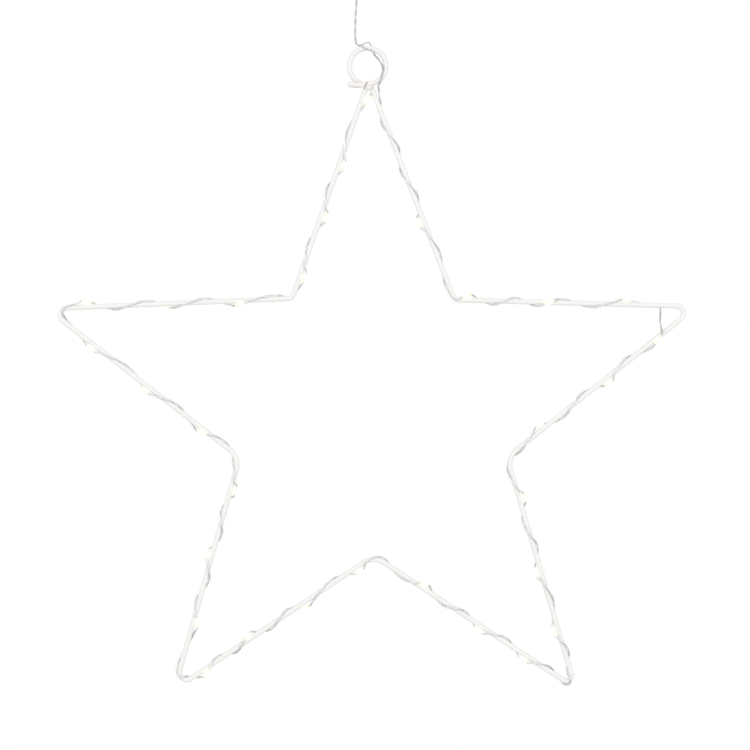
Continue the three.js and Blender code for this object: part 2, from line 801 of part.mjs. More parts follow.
const board = blockBetween(
  -boardWidth / 2, boardWidth / 2, boardFront, boardBack,
  bayMiddle - boardHeight / 2, bayMiddle + boardHeight / 2,
);
piece("circuit_board", board, boardGreen, box);
const chip = new THREE.BoxGeometry(...chipSize);
piece("timer_chip", chip, darkEpoxy, box).position.set(
  boardWidth * chipPlaceShares[0], boardFront - clearance - chipSize[1] / 2,
  bayMiddle + boardHeight * chipPlaceShares[1],
);
const resistor = turned(
  [[0, 0], [resistorDiameter / 3, 0], [resistorDiameter / 2, resistorDiameter / 3],
    [resistorDiameter / 2, resistorLength - resistorDiameter / 3],
    [resistorDiameter / 3, resistorLength], [0, resistorLength]],
  smallRoundSides, new THREE.Vector3(1, 0, 0),
);
piece("series_resistor", resistor, tanCeramic, box).position.set(
  boardWidth * resistorPlaceShares[0] - resistorLength / 2,
  boardFront - clearance - resistorDiameter / 2,
  bayMiddle + boardHeight * resistorPlaceShares[1],
);

// The slide switch: a body with a trough, and a knob that runs in it and through the cover's slot.
const switchLevel = bayMiddle + switchRise;
const switchFront = boardFront - clearance - switchSize[1];
const troughReach = (knobWidth + switchTravel) / 2 + clearance;
const switchBody = carved(
  blockBetween(
    -switchSize[0] / 2, switchSize[0] / 2, switchFront, boardFront - clearance,
    switchLevel - switchSize[2] / 2, switchLevel + switchSize[2] / 2,
  ),
  blockBetween(
    -troughReach, troughReach, switchFront - overrun, switchFront + knobSink + clearance,
    switchLevel - knobHeight / 2 - clearance, switchLevel + knobHeight / 2 + clearance,
  ),
);
piece("switch_body", switchBody, nickel, box);
const knob = blockBetween(
  -knobWidth / 2, knobWidth / 2, -(caseDepth + knobStep), switchFront + knobSink,
  -knobHeight / 2, knobHeight / 2,
);
piece("switch_knob", knob, greyPlastic, box).position.set(knobRest, 0, switchLevel);

const gripPlace = new THREE.Vector3(0, leadPlane, caseBottom);
piece("lead_grommet", grommet(), softWhite, box).position.copy(gripPlace);
const innerLead = [bayMiddle, caseBottom, caseBottom - gripLength].map(
  (z) => new THREE.Vector3(0, leadPlane, z),
);
piece("lead_inner", tubeAlong(innerLead, cordDiameter, leadSides), silverWire, box);

// The free lead hangs from the grommet down to the string's entry on the ring.
const leadTop = new THREE.Vector3(0, leadPlane, caseBottom - gripLength - clearance);
const leadRoute = [
  [0, 0], [0, 0.07], [0.05, 0.16], [0.15, 0.27], [0.31, 0.38], [0.5, 0.49],
  [0.7, 0.61], [0.86, 0.73], [0.96, 0.85], [1, 0.94], [1, 1],
].map(([swayShare, dropShare]) => new THREE.Vector3(
  leadTop.x - leadSway * swayShare, leadTop.y, leadTop.z - leadLength * dropShare,
));
piece("lead", tubeAlong(leadRoute, cordDiameter, leadSides), silverWire, lamp);
star.position.set(
  leadTop.x - leadSway - lightString.entryTop.x,
  leadTop.y,
  leadTop.z - leadLength - clearance - lightString.entryTop.z,
);

[["light string", lightString.points, cordDiameter], ["contact spring", springLine, springWire]].forEach(
  ([label, points, diameter]) => {
    const { gap, length } = leastGap(points, diameter);
    console.log(`${label}: length ${length.toFixed(0)} mm, least gap ${gap.toFixed(2)} mm`);
  },
);

export default lamp;
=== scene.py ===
# A lit wire star on its own lead, wound with a string of small LEDs, under its battery case.
# Metres in the scene; routes are worked out in millimetres in the star's own plane, then placed.
import math

import bmesh
import bpy
import numpy as np
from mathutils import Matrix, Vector


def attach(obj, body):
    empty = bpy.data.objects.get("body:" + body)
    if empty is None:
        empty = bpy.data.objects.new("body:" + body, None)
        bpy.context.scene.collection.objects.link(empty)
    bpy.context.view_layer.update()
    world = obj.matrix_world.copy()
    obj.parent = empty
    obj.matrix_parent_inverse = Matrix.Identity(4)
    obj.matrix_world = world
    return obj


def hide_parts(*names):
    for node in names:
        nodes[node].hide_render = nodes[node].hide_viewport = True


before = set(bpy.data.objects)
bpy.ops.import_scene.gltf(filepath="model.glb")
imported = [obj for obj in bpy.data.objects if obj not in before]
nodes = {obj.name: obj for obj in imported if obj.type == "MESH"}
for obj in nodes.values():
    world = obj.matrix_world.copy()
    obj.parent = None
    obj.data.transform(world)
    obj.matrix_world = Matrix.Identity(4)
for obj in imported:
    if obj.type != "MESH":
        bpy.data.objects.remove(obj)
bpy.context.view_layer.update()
mm = 0.001
fullTurn = 2 * math.pi
towardsFront = np.array([0.0, -1.0, 0.0])
backwards = -towardsFront
upwards = np.array([0.0, 0.0, 1.0])
rightwards = np.array([1.0, 0.0, 0.0])
scene = bpy.context.scene

print("stage: helpers")


# sRGB hex to linear light.
def linear(hexColour):
    raw = np.array([int(hexColour[k:k + 2], 16) for k in (1, 3, 5)]) / 255
    low, high = raw / 12.92, ((raw + 0.055) / 1.055) ** 2.4
    return (*np.where(raw <= 0.04045, low, high).tolist(), 1.0)


# Adds one node with its own settings. Its inputs are values, sockets, or nodes, which stand for their
# first live output.
def addNode(tree, kind, inputs=None, **settings):
    node = tree.nodes.new("ShaderNode" + kind)
    for key, value in settings.items():
        setattr(node, key, value)
    for key, value in (inputs or {}).items():
        if isinstance(value, bpy.types.Node):
            value = next(socket for socket in value.outputs if socket.enabled)
        if isinstance(value, bpy.types.NodeSocket):
            tree.links.new(value, node.inputs[key])
        else:
            node.inputs[key].default_value = value
    return node


# A new material, whose shader one function builds from Object coordinates and its settings.
def newMaterial(name, build, looks):
    material = bpy.data.materials.new(name)
    material.use_nodes = True
    tree = material.node_tree
    tree.nodes.clear()
    place = addNode(tree, "TexCoord").outputs["Object"]
    addNode(tree, "OutputMaterial", {"Surface": build(tree, place, looks)})
    return material


# A pattern's inputs: it reads the place and has one feature in so many millimetres.
def sized(place, size):
    return {"Vector": place, "Scale": 1 / (size * mm)}


# What a finish ends in: a bump of the given height under the shader's other inputs.
def skin(tree, looks, height, inputs):
    strength, depth = looks["bump"]
    bump = addNode(tree, "Bump", {"Height": height, "Strength": strength, "Distance": depth * mm})
    return addNode(tree, "BsdfPrincipled", {"Roughness": looks["rough"], "Normal": bump, **inputs})


# The two colours of a mix.
def tones(colours):
    return {"A": linear(colours[0]), "B": linear(colours[1])}


# Three arrays as one of places.
def xyz(x, y, z):
    return np.stack(np.broadcast_arrays(x, y, z), axis=-1)


# So many angles spread evenly round a turn.
def anglesRound(count):
    return fullTurn * np.arange(count) / count


# Each vector over its own length.
def unit(vectors):
    return vectors / np.linalg.norm(vectors, axis=-1, keepdims=True)


# A smooth step between 0 and 1: the share's square, times three less twice the share.
def swell(share):
    share = np.clip(share, 0, 1)
    return share * share * (3 - 2 * share)


# How far along a path each of its points is.
def arcLength(path):
    steps = np.linalg.norm(np.diff(path, axis=0), axis=1)
    return np.concatenate([[0], np.cumsum(steps)])


# Every column of a table, read again at equal steps along the path.
def resampled(path, step, *tables):
    along = arcLength(path)
    count = max(2, int(math.ceil(along[-1] / step)) + 1)
    places = np.linspace(0, along[-1], count)
    return [np.stack([np.interp(places, along, column) for column in table.T], axis=1)
            for table in (path, *tables)]


# A bell-weighted running mean over so many steps; the ends are carried on straight, so they stay.
def smoothed(path, steps):
    reach = int(4 * steps)   # the bell is cut off at four of its widths
    weights = np.exp(-0.5 * (np.arange(-reach, reach + 1) / steps) ** 2)
    head = 2 * path[0] - path[reach:0:-1]
    tail = 2 * path[-1] - path[-2:-reach - 2:-1]
    whole = np.concatenate([head, path, tail])
    kept = [np.convolve(column, weights / weights.sum(), "valid") for column in whole.T]
    return np.stack(kept, axis=1)


# The two directions across a path: the reference made square to it, and the one square to both.
def acrossPath(path, reference):
    tangent = unit(np.gradient(path, axis=0))
    sideways = unit(reference - (reference * tangent).sum(axis=1, keepdims=True) * tangent)
    return sideways, np.cross(tangent, sideways)


# Rings round a path: its point plus the radius times (cosine along the reference, sine across it).
def ringsRound(path, reference, radius, sides):
    sideways, across = acrossPath(path, reference)
    angle = anglesRound(sides)[:, None]
    radii = np.broadcast_to(radius, len(path))[:, None, None]
    return path[:, None] + radii * (np.cos(angle) * sideways[:, None] + np.sin(angle) * across[:, None])


# Faces of a grid whose columns close on themselves. Its rows end in a fan to a middle point, or close
# too where it is looped, as a sleeve is. The faces look outwards, whichever way the grid was wound.
def closedGrid(rings, looped):
    rows, columns = rings.shape[:2]
    index = np.arange(rows * columns).reshape(rows, columns)
    if looped:
        index = np.concatenate([index, index[:1]])
    after = np.roll(index, -1, axis=1)
    quads = np.stack([index[:-1], after[:-1], after[1:], index[1:]], axis=-1).reshape(-1, 4)
    points, triangles = rings.reshape(-1, 3), np.zeros((0, 3), int)
    if not looped:
        triangles = np.concatenate([xyz(len(points), after[0], index[0]),
                                    xyz(len(points) + 1, index[-1], after[-1])])
        points = np.concatenate([points, [rings[0].mean(axis=0), rings[-1].mean(axis=0)]])
    corners = points[np.concatenate([quads[:, :3], quads[:, [0, 2, 3]], triangles])]
    volume = (corners[:, 0] * np.cross(corners[:, 1], corners[:, 2])).sum()
    if volume < 0:
        quads, triangles = quads[:, ::-1], triangles[:, ::-1]
    return points, quads, triangles


def newObject(name, data):
    added = bpy.data.objects.new(name, data)
    scene.collection.objects.link(added)
    return added


# A mesh as a piece of one finish, with its body and the CAD nodes that it replaces. Its slot name is not
# used.
def newPiece(mesh, material, body=None, slotName=None, *replaced):
    mesh.materials.clear()
    mesh.materials.append(material)
    piece = newObject(mesh.name, mesh)
    if body:
        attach(piece, body)
    if replaced:
        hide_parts(*replaced)
    return piece


# Several closed grids as one piece, in metres; edges sharper than the angle aren't shaded round. Where to
# says its body, its slot and the CAD nodes that it replaces.
def gridPiece(name, grids, material, *whereTo, sharpAngle=50, looped=False):
    points, *kinds = zip(*[closedGrid(rings, looped) for rings in grids])
    starts = np.cumsum([0, *map(len, points)])
    faces = [face for parts in kinds for part, start in zip(parts, starts)
             for face in (part + start).tolist()]
    mesh = bpy.data.meshes.new(name)
    mesh.from_pydata(np.concatenate(points) * mm, [], faces, shade_flat=False)
    mesh.validate()
    mesh.set_sharp_from_angle(angle=math.radians(sharpAngle))
    return newPiece(mesh, material, *whereTo)


# A turned surface: radii and heights, by row or by row and column, round an axis through the origin.
def turnedRings(radii, heights, origin, axis, columns):
    axis = np.array(axis, float)
    first = upwards if abs(axis[0]) > 0.5 else rightwards
    angle = anglesRound(columns)[:, None]
    radii, heights = (np.broadcast_to(np.reshape(part, (len(part), -1)), (len(part), columns))
                      for part in (radii, heights))
    spokes = np.cos(angle) * first + np.sin(angle) * np.cross(axis, first)
    return np.array(origin, float) + heights[..., None] * axis + radii[..., None] * spokes


# In mm and degrees: points nearer than the merge become one, faces flatter than the flat angle are
# joined, and edges past the sharp angle are rounded.
edging = {"merge": 0.002, "flatAngle": 1, "sharpAngle": 35, "levelReach": 0.01, "segments": 3}


# A CAD node's own surface with its flats joined and its outside edges rounded, as a moulding or stamping
# has. Where levels are given, in mm, only edges lying in those planes across Y are rounded.
def edgedCopy(nodeName, pieceName, material, body, slotName, width, levels):
    mesh = nodes[nodeName].data.copy()
    mesh.name = pieceName
    work = bmesh.new()
    work.from_mesh(mesh)
    rounded = work.edges.layers.float.new("bevel_weight_edge")
    bmesh.ops.remove_doubles(work, verts=work.verts, dist=edging["merge"] * mm)
    bmesh.ops.dissolve_limit(work, angle_limit=math.radians(edging["flatAngle"]), verts=work.verts,
                             edges=work.edges)
    for edge in work.edges:
        outside = edge.is_convex and (not levels or edging["levelReach"] > min(
            max(abs(vert.co.y / mm - level) for vert in edge.verts) for level in levels))
        sharp = edge.calc_face_angle() > math.radians(edging["sharpAngle"])
        edge[rounded] = float(sharp and outside)
        edge.smooth = outside or not sharp
    work.to_mesh(mesh)
    work.free()
    mesh.polygons.foreach_set("use_smooth", np.ones(len(mesh.polygons), bool))
    piece = newPiece(mesh, material, body, slotName, nodeName)
    bevel = piece.modifiers.new("roundedEdges", "BEVEL")
    bevel.width, bevel.segments, bevel.limit_method = width * mm, edging["segments"], "WEIGHT"
    bevel.use_clamp_overlap = bevel.loop_slide = False
    bevel.harden_normals = True


print("stage: camera, lamps and floor")
# Place, lens and sensor in mm.
view = {"place": (8.375, -863.0, -243.012), "lens": 85, "sensor": 36, "clip": (0.01, 20), "ambient": 0.74}
scene.view_settings.view_transform = "Standard"
cameraData = bpy.data.cameras.new("photoCamera")
cameraData.lens, cameraData.sensor_width = view["lens"], view["sensor"]
cameraData.clip_start, cameraData.clip_end = view["clip"]
camera = newObject("photoCamera", cameraData)
camera.location = [c * mm for c in view["place"]]
camera.rotation_euler = (math.pi / 2, 0, 0)
scene.camera = camera

# Camera, mirror and glass rays see white paper all round; the rest is lit by a softer grey.
world = bpy.data.worlds.new("whitePaperSurround")
world.use_nodes = True
tree = world.node_tree
tree.nodes.clear()
rays = addNode(tree, "LightPath")
seen = rays.outputs["Is Camera Ray"]
for kind in ("Is Glossy Ray", "Is Transmission Ray"):
    seen = addNode(tree, "Math", {0: seen, 1: rays.outputs[kind]}, operation="MAXIMUM")
soft, paper = (addNode(tree, "Background", {"Color": (1, 1, 1, 1), "Strength": strength})
               for strength in (view["ambient"], 1.0))
mixed = addNode(tree, "MixShader", {0: seen, 1: soft, 2: paper})
addNode(tree, "OutputWorld", {"Surface": mixed})
scene.world = world

# Large softboxes either side of the camera, aimed at the star: name, place and watts, in metres.
lamps = {"aim": (0, 0, -0.24), "size": 0.9,
         "boxes": [("softboxLeft", (-0.75, -1.5, 0.25), 5.5), ("softboxRight", (0.8, -1.4, 0.1), 4.5)]}
for name, place, watts in lamps["boxes"]:
    lampData = bpy.data.lights.new(name, "AREA")
    lampData.energy, lampData.size = watts, lamps["size"]
    lamp = newObject(name, lampData)
    lamp.location = place
    lamp.rotation_euler = (Vector(lamps["aim"]) - lamp.location).to_track_quat("-Z", "Y").to_euler()

# Sizes in mm; the fade is in shares of the radius.
floor = {"level": -600, "radius": 800, "middle": 0.02, "thickness": 2.0, "sides": 96, "rows": 24,
         "fade": (0.55, 0.98), "fibre": 1.5, "colours": ("#f3f3f1", "#fafaf8")}


# Pale seamless paper whose rim fades into the white surround.
def paleSeamlessPaper(tree, place, looks):
    centred = addNode(tree, "Mapping", {"Vector": place, "Location": (0, 0, -looks["level"] * mm)})
    away = addNode(tree, "VectorMath", {0: centred}, operation="LENGTH")
    near, far = (share * looks["radius"] * mm for share in looks["fade"])
    fade = addNode(tree, "MapRange", {"Value": away, "From Min": near, "From Max": far})
    fibre = addNode(tree, "TexNoise", {**sized(place, looks["fibre"]), "Detail": 4})
    tone = addNode(tree, "Mix", {"Factor": fibre, **tones(looks["colours"])}, data_type="RGBA")
    cloth = addNode(tree, "BsdfDiffuse", {"Color": tone})
    clear = addNode(tree, "BsdfTransparent")
    return addNode(tree, "MixShader", {0: fade, 1: cloth, 2: clear})


# A round sheet: rings from its middle to its rim, and the same rings again underneath.
def paperFloor():
    angle = anglesRound(floor["sides"])
    radii = np.linspace(floor["middle"], 1, floor["rows"])[:, None] * floor["radius"]
    disc = xyz(radii * np.cos(angle), radii * np.sin(angle), floor["level"])
    under = disc[::-1] - floor["thickness"] * upwards
    paper = newMaterial("paleSeamlessPaper", paleSeamlessPaper, floor)
    gridPiece("paperFloor", [np.concatenate([disc, under])], paper)


paperFloor()

print("stage: materials")
markCore = 0.4   # a mark is full inside this share of its half sizes, and fades out to its edge


# A surface whose colour and gloss drift over its cloud size, under a bump of its grain size. It may have
# soft marks, and a band of another colour past a share of the rows of its mesh.
def mottled(tree, place, looks):
    cloud = addNode(tree, "TexNoise", {**sized(place, looks["cloud"]),
                                       "Detail": looks.get("cloudDetail", 3)})
    fine = addNode(tree, "TexNoise", {**sized(place, looks["grain"]), "Detail": 2})
    colour = addNode(tree, "Mix", {"Factor": cloud, **tones(looks["colours"])}, data_type="RGBA")
    overlays = []
    for middle, halves, tilt, hexColour, strength in looks.get("marks", ()):
        centred = addNode(tree, "Mapping", {
            "Vector": place, "Location": [c * mm for c in middle], "Scale": [c * mm for c in halves],
            "Rotation": (0, math.radians(tilt), 0)}, vector_type="TEXTURE")
        away = addNode(tree, "VectorMath", {0: centred}, operation="LENGTH")
        mark = addNode(tree, "MapRange", {"Value": away, "From Min": 1, "From Max": markCore,
                                          "To Max": strength}, interpolation_type="SMOOTHSTEP")
        overlays.append((mark, hexColour))
    if "band" in looks:
        share = addNode(tree, "Attribute", attribute_name="rowShare").outputs["Fac"]
        inBand = addNode(tree, "Math", {0: share, 1: looks["bandStart"]}, operation="GREATER_THAN")
        overlays.append((inBand, looks["band"]))
    for cover, hexColour in overlays:
        colour = addNode(tree, "Mix", {"Factor": cover, "A": colour, "B": linear(hexColour)},
                         data_type="RGBA")
    low, high = looks["rough"]
    gloss = addNode(tree, "MapRange", {"Value": cloud, "To Min": low, "To Max": high})
    return skin(tree, looks, fine, {"Base Color": colour, "Roughness": gloss,
                                    "Metallic": looks.get("metal", 0.0)})


# Pattern sizes such as cloud and grain are in mm, and a bump is its strength and its depth in mm. A mark
# has its middle, half sizes, tilt in degrees about Y, colour and strength.
finishLooks = {
    # White powder coat on steel wire: sprayed as powder and baked, so it is satin with a soft orange
    # peel. Its marks are painted light and shade at the ring's foot: tan and pink patches of painted warm
    # light from the lit drop below, and a grey-brown tick of painted contact shadow.
    "whitePowderCoat": {
        "cloud": 23.0, "grain": 1.4, "colours": ("#efefed", "#f6f6f4"), "rough": (0.36, 0.48),
        "bump": (0.25, 0.05),
        # Painted warm light from the lit drop below the ring, on the stub and its ends.
        "marks": [((-0.2, -11.8, -101.9), (5.6, 2.6, 0.8), 0, "#dfcfc1", 0.9),
                  ((-1.4, -11.8, -104.7), (4.6, 2.6, 0.8), 0, "#dfcfc1", 0.55),
                  ((-5.1, -11.8, -103.3), (1.1, 2.6, 1.8), 0, "#dfcfc1", 0.9),
                  # A grey-brown tick of painted contact shadow where the stub crosses the neck.
                  ((4.1, -11.8, -103.4), (0.85, 3.2, 2.4), 32, "#bcafac", 0.9),
                  # A pink patch of painted warm light from the same drop, on the ring's other side.
                  ((8.4, -11.2, -102.6), (3.4, 3.2, 2.4), 0, "#f2e4e6", 0.6)]},
    # Drawn copper wire under silver enamel: a bright line whose sheen changes along it.
    "silverEnamelWire": {
        "cloud": 0.9, "grain": 0.4, "colours": ("#d5d6d7", "#e3e3e2"), "rough": (0.3, 0.46),
        "bump": (0.1, 0.02), "metal": 1.0},
    # The same wire, painted darker as shade where the drops' light doesn't reach it, and a little duller.
    "shadedEnamelWire": {
        "cloud": 0.9, "grain": 0.4, "colours": ("#b4b5b6", "#c6c6c5"), "rough": (0.34, 0.5),
        "bump": (0.1, 0.02), "metal": 1.0},
    # Injection-moulded ABS: white and even, its spark-eroded skin breaks the gloss.
    "sparkErodedWhiteAbs": {
        "cloud": 14.0, "grain": 0.35, "colours": ("#e9e9e6", "#f1f1ef"), "rough": (0.42, 0.55),
        "bump": (0.35, 0.03)},
    # Glass-filled nylon of the slide knob: dark, dry and a little uneven.
    "mouldedGreyNylon": {
        "cloud": 2.5, "grain": 0.25, "colours": ("#34373a", "#404447"), "rough": (0.5, 0.65),
        "bump": (0.4, 0.03)},
    # Soft vinyl of the strain relief: matt, slightly waxy.
    "softMattVinyl": {
        "cloud": 4.0, "grain": 0.5, "colours": ("#dededa", "#e7e7e4"), "rough": (0.6, 0.75),
        "bump": (0.25, 0.03)},
    # Nickel plate on spring steel: warm grey mirror with rolling streaks worn in.
    "rolledNickelPlate": {
        "cloud": 1.6, "grain": 0.3, "colours": ("#bdb9b1", "#cfccc5"), "rough": (0.18, 0.34),
        "bump": (0.12, 0.02), "metal": 1.0},
    # Zinc plate on the screws: blue-grey, duller than nickel.
    "blueZincPlate": {
        "cloud": 0.9, "grain": 0.25, "colours": ("#a9b0b8", "#c3c6c8"), "rough": (0.3, 0.48),
        "bump": (0.2, 0.02), "metal": 1.0},
    # Transfer-moulded epoxy of the timer chip: near black with a fine matt grain.
    "mattEpoxyMoulding": {
        "cloud": 2.0, "grain": 0.15, "colours": ("#191a1b", "#242527"), "rough": (0.5, 0.62),
        "bump": (0.5, 0.02)},
    # Seal ring of the cells: black nylon with a dull skin.
    "dullSealNylon": {
        "cloud": 1.5, "grain": 0.3, "colours": ("#202122", "#2c2e2f"), "rough": (0.45, 0.6),
        "bump": (0.2, 0.02)},
    # Shrunk plastic film on a cell: satin slate with one pale band at the positive end, and no print.
    "shrunkFilmSleeve": {
        "cloud": 0.8, "cloudDetail": 2, "grain": 0.8, "colours": ("#4f5960", "#58636a"),
        "rough": (0.3, 0.42), "bump": (0.15, 0.03), "band": "#c9ced1", "bandStart": 0.76},
}
finish = {name: newMaterial(name, mottled, looks) for name, looks in finishLooks.items()}

resin = {"ripple": 1.8, "colour": "#fffce9", "rough": 0.08, "clear": 0.8, "bump": (0.3, 0.1),
         "glow": "#fcffd4", "glowStrength": 0.32}


# Cast epoxy resin: a clear bead that carries the chip's warm light to its skin.
def clearEpoxyResin(tree, place, looks):
    ripple = addNode(tree, "TexNoise", sized(place, looks["ripple"]))
    return skin(tree, looks, ripple, {
        "Base Color": linear(looks["colour"]), "Transmission Weight": looks["clear"],
        "Emission Color": linear(looks["glow"]), "Emission Strength": looks["glowStrength"]})


phosphor = {"speckle": 0.3, "colours": ("#fff4cf", "#fffae4"), "body": "#f4ebc0", "rough": 0.6,
            "glowStrength": 1.1}


# The lit die under its warm phosphor: a pale yellow square that glows through the resin.
def warmPhosphor(tree, place, looks):
    speckle = addNode(tree, "TexNoise", sized(place, looks["speckle"]))
    tone = addNode(tree, "Mix", {"Factor": speckle, **tones(looks["colours"])}, data_type="RGBA")
    return addNode(tree, "BsdfPrincipled", {
        "Base Color": linear(looks["body"]), "Roughness": looks["rough"], "Emission Color": tone,
        "Emission Strength": looks["glowStrength"]})


# Tracks lie where the wave and the distance from a patch's middle both pass their shares.
mask = {"pitch": 1.27, "patch": 4.0, "trackShare": 0.62, "patchShare": 0.32,
        "colours": ("#1d5a38", "#2f7d4f"), "rough": 0.35, "bump": (0.6, 0.06)}


# Solder mask over etched copper: deep green, with raised lighter tracks on a fine pitch.
def greenSolderMask(tree, place, looks):
    tracks = addNode(tree, "TexWave", sized(place, fullTurn * looks["pitch"]), bands_direction="X")
    patches = addNode(tree, "TexVoronoi", sized(place, looks["patch"]), distance="CHEBYCHEV")
    laid = addNode(tree, "Math", {0: tracks.outputs["Fac"], 1: looks["trackShare"]},
                   operation="GREATER_THAN")
    here = addNode(tree, "Math", {0: patches.outputs["Distance"], 1: looks["patchShare"]},
                   operation="GREATER_THAN")
    track = addNode(tree, "Math", {0: laid, 1: here}, operation="MULTIPLY")
    colour = addNode(tree, "Mix", {"Factor": track, **tones(looks["colours"])}, data_type="RGBA")
    return skin(tree, looks, track, {"Base Color": colour})


# Foot and length along X in mm. Each ring starts at a share of the length; those with no colour go back
# to the body's.
lacquer = {"foot": 2.0, "length": 5.0, "body": "#cbb083", "rough": 0.25, "drift": 1.1, "bump": (0.3, 0.05),
           "rings": [(0.2, "#5b3a22"), (0.28, ""), (0.38, "#1e1d1c"), (0.46, ""), (0.56, "#8d2f22"),
                     (0.64, ""), (0.76, "#b99648"), (0.83, "")]}


# Dipped lacquer on a resistor: glossy tan, with plain painted rings along its axis.
def dippedTanLacquer(tree, place, looks):
    apart = addNode(tree, "SeparateXYZ", {0: place})
    foot = looks["foot"] * mm
    share = addNode(tree, "MapRange", {"Value": apart.outputs["X"], "From Min": foot,
                                       "From Max": foot + looks["length"] * mm})
    bands = addNode(tree, "ValToRGB", {"Fac": share})
    ramp = bands.color_ramp
    ramp.interpolation = "CONSTANT"
    ramp.elements[0].color = linear(looks["body"])
    ramp.elements.remove(ramp.elements[1])
    for edge, hexColour in looks["rings"]:
        ramp.elements.new(edge).color = linear(hexColour or looks["body"])
    drift = addNode(tree, "TexNoise", sized(place, looks["drift"]))
    return skin(tree, looks, drift, {"Base Color": bands})


# Each of these is named for the function that builds it.
for build, looks in ((clearEpoxyResin, resin), (warmPhosphor, phosphor), (greenSolderMask, mask),
                     (dippedTanLacquer, lacquer)):
    finish[build.__name__] = newMaterial(build.__name__, build, looks)
# The darker enamel wire is painted shade; it finishes the lead and the string's shaded rows.
shadedWire, nickelPlate = finish["shadedEnamelWire"], finish["rolledNickelPlate"]

print("stage: the star's routes")
# Wire and winding as in the part's source: lengths in mm, angles in degrees.
star = {
    "wireDiameter": 2.5, "tipRadius": 164.5, "notchRadius": 68.0,
    "tipBend": 3.6, "sharpTip": 4, "sharpTipBend": 2.6, "upperNotchBend": 3.0, "lowerNotchBend": 9.0,
    "radiusShares": [0.978, 0.994, 0.999, 0.998, 0.999, 1.005, 0.997, 0.996, 1.005, 1.001],
    "turnShares": [0.022, 0.016, 0.011, 0.001, 0.012, 0.005, 0.005, 0.001, 0.003, -0.026],
    "ringRadius": 8.85, "ringOffset": -0.4, "neckDrop": 2.1, "neckReach": 3.5, "ringStart": -90,
    "ringEnd": 255, "crossingSweep": 130, "crossingDepth": 2.8,
    "walkStep": 0.55, "neckRows": 14, "sides": 18,
    # The cut end reaches so far left and down; its coat is so much thicker and rounds its edge so far.
    "stub": (9.5, 0.1), "stubArch": 0.55, "stubCoat": 0.1, "stubRounding": 0.7, "stubRows": 18,
}
# Shares are of a side or of a turn round the wire: 0 faces the star's middle, 0.25 the front.
string = {
    "cordDiameter": 1.0, "gap": 0.3, "pitch": 28.0, "slack": 0.1, "wave": 61.0, "bulge": 7.0,
    "calmShare": 1 / 3, "tail": 0.8, "dropDiameter": 3.0, "dropLength": 5.2,
    "ledShares": [
        [[0.64, 0]],
        [[0.05, 0.4], [0.388, 0.25], [0.714, 0.6]],
        [[0.214, 0.3], [0.48, 0.5], [0.81, 0.9]],
        [[0.18, 0.5], [0.491, 0], [0.749, 0]],
        [[0.245, 0.5], [0.469, 0.5], [0.763, 0.1]],
        [[0.085, 0.5], [0.356, 0.6], [0.623, 0.05], [0.845, 0.4]],
        [[0.296, 0.1], [0.579, 0.5], [0.861, 0]],
        [[0.184, 0.35], [0.479, 0.6], [0.758, 0.5]],
        [[0.163, 0.5], [0.477, 0.8], [0.787, 0.1]],
        [[0.102, 0], [0.379, 0], [0.615, 0]],
    ],
    # The string passes over the bend of these tips, and crosses the free tip from side to side.
    "tipPasses": {4: -1.8, 6: 2.3, 8: 5.4}, "freeTip": 2, "crossing": (17.2, 21.7), "tipBow": 0.6,
    # The hitch: angle on the ring, turns round its wire, share of the lift. The inner strand passes in
    # front of the ring instead of over it, and the two meet inside.
    "hitch": [[112, 0.5, 0], [88, 0.5, 2], [74, 0.75, 0], [57, 1, 1.4], [25, 1, 1.25],
              [-7, 1.11, 0.25], [-39, 1.21, 0], [-62, 1.5, 0]],
    "innerHitch": [[112, 0.5, 0], [105, 0.35, 0], [98, 0.23, 0], [86, 0.15, 0.1],
                   [57, 0, 1.4], [25, 0, 1.25], [-7, 0.11, 0.25], [-39, 0.21, 0], [-62, 0.5, 0]],
    "hitchLift": 0.6, "hitchTurn": (3.0, 22.0), "hitchLength": 36.0, "neckStart": 10.0, "neckSpan": 20,
    "entryRise": 4.5, "entryOut": 2.0, "entryRows": 24, "restGap": 0.06,
    "strandDiameter": 0.56, "strandOffset": 0.25, "twistPitch": 9.0, "sides": 8,
    # Steps in mm: of the first walk, of the even one, and of the rows. Softness in even steps.
    "walkStep": 0.2, "evenStep": 0.25, "step": 0.5, "softness": 2.6, "radialSoftness": 6,
}
drop = {"diameter": 2.6, "length": 4.9, "rows": 25, "columns": 20, "roundness": 2.4, "lobe": 0.025,
        "shrink": 0.05, "sag": 0.12, "end": 0.998}
lead = {
    "top": (0.0, -9.0, -48.3), "length": 31.0, "sway": 1.2, "gap": 0.3, "step": 0.25, "softness": 5,
    "shares": [[0, 0], [0, 0.07], [0.05, 0.16], [0.15, 0.27], [0.31, 0.38], [0.5, 0.49],
               [0.7, 0.61], [0.86, 0.73], [0.96, 0.85], [1, 0.94], [1, 1]],
}

cornerCount = len(star["radiusShares"])
step = np.arange(cornerCount)
cornerRadius = star["radiusShares"] * np.where(step % 2, star["notchRadius"], star["tipRadius"])
cornerAngle = fullTurn / 4 - fullTurn / cornerCount * (step - np.array(star["turnShares"]))
corners = xyz(cornerRadius * np.cos(cornerAngle), 0, cornerRadius * np.sin(cornerAngle))
sideVectors = np.roll(corners, -1, axis=0) - corners
sideLengths = np.linalg.norm(sideVectors, axis=1)
sideAlong = sideVectors / sideLengths[:, None]
sideStarts = np.concatenate([[0], np.cumsum(sideLengths)])
perimeter = sideStarts[-1]


# Turned about +Y: x' = x cos + z sin, z' = z cos - x sin.
def turnedAboutY(vectors, angle):
    x, z = vectors[..., 0], vectors[..., 2]
    return xyz(x * np.cos(angle) + z * np.sin(angle), 0, z * np.cos(angle) - x * np.sin(angle))


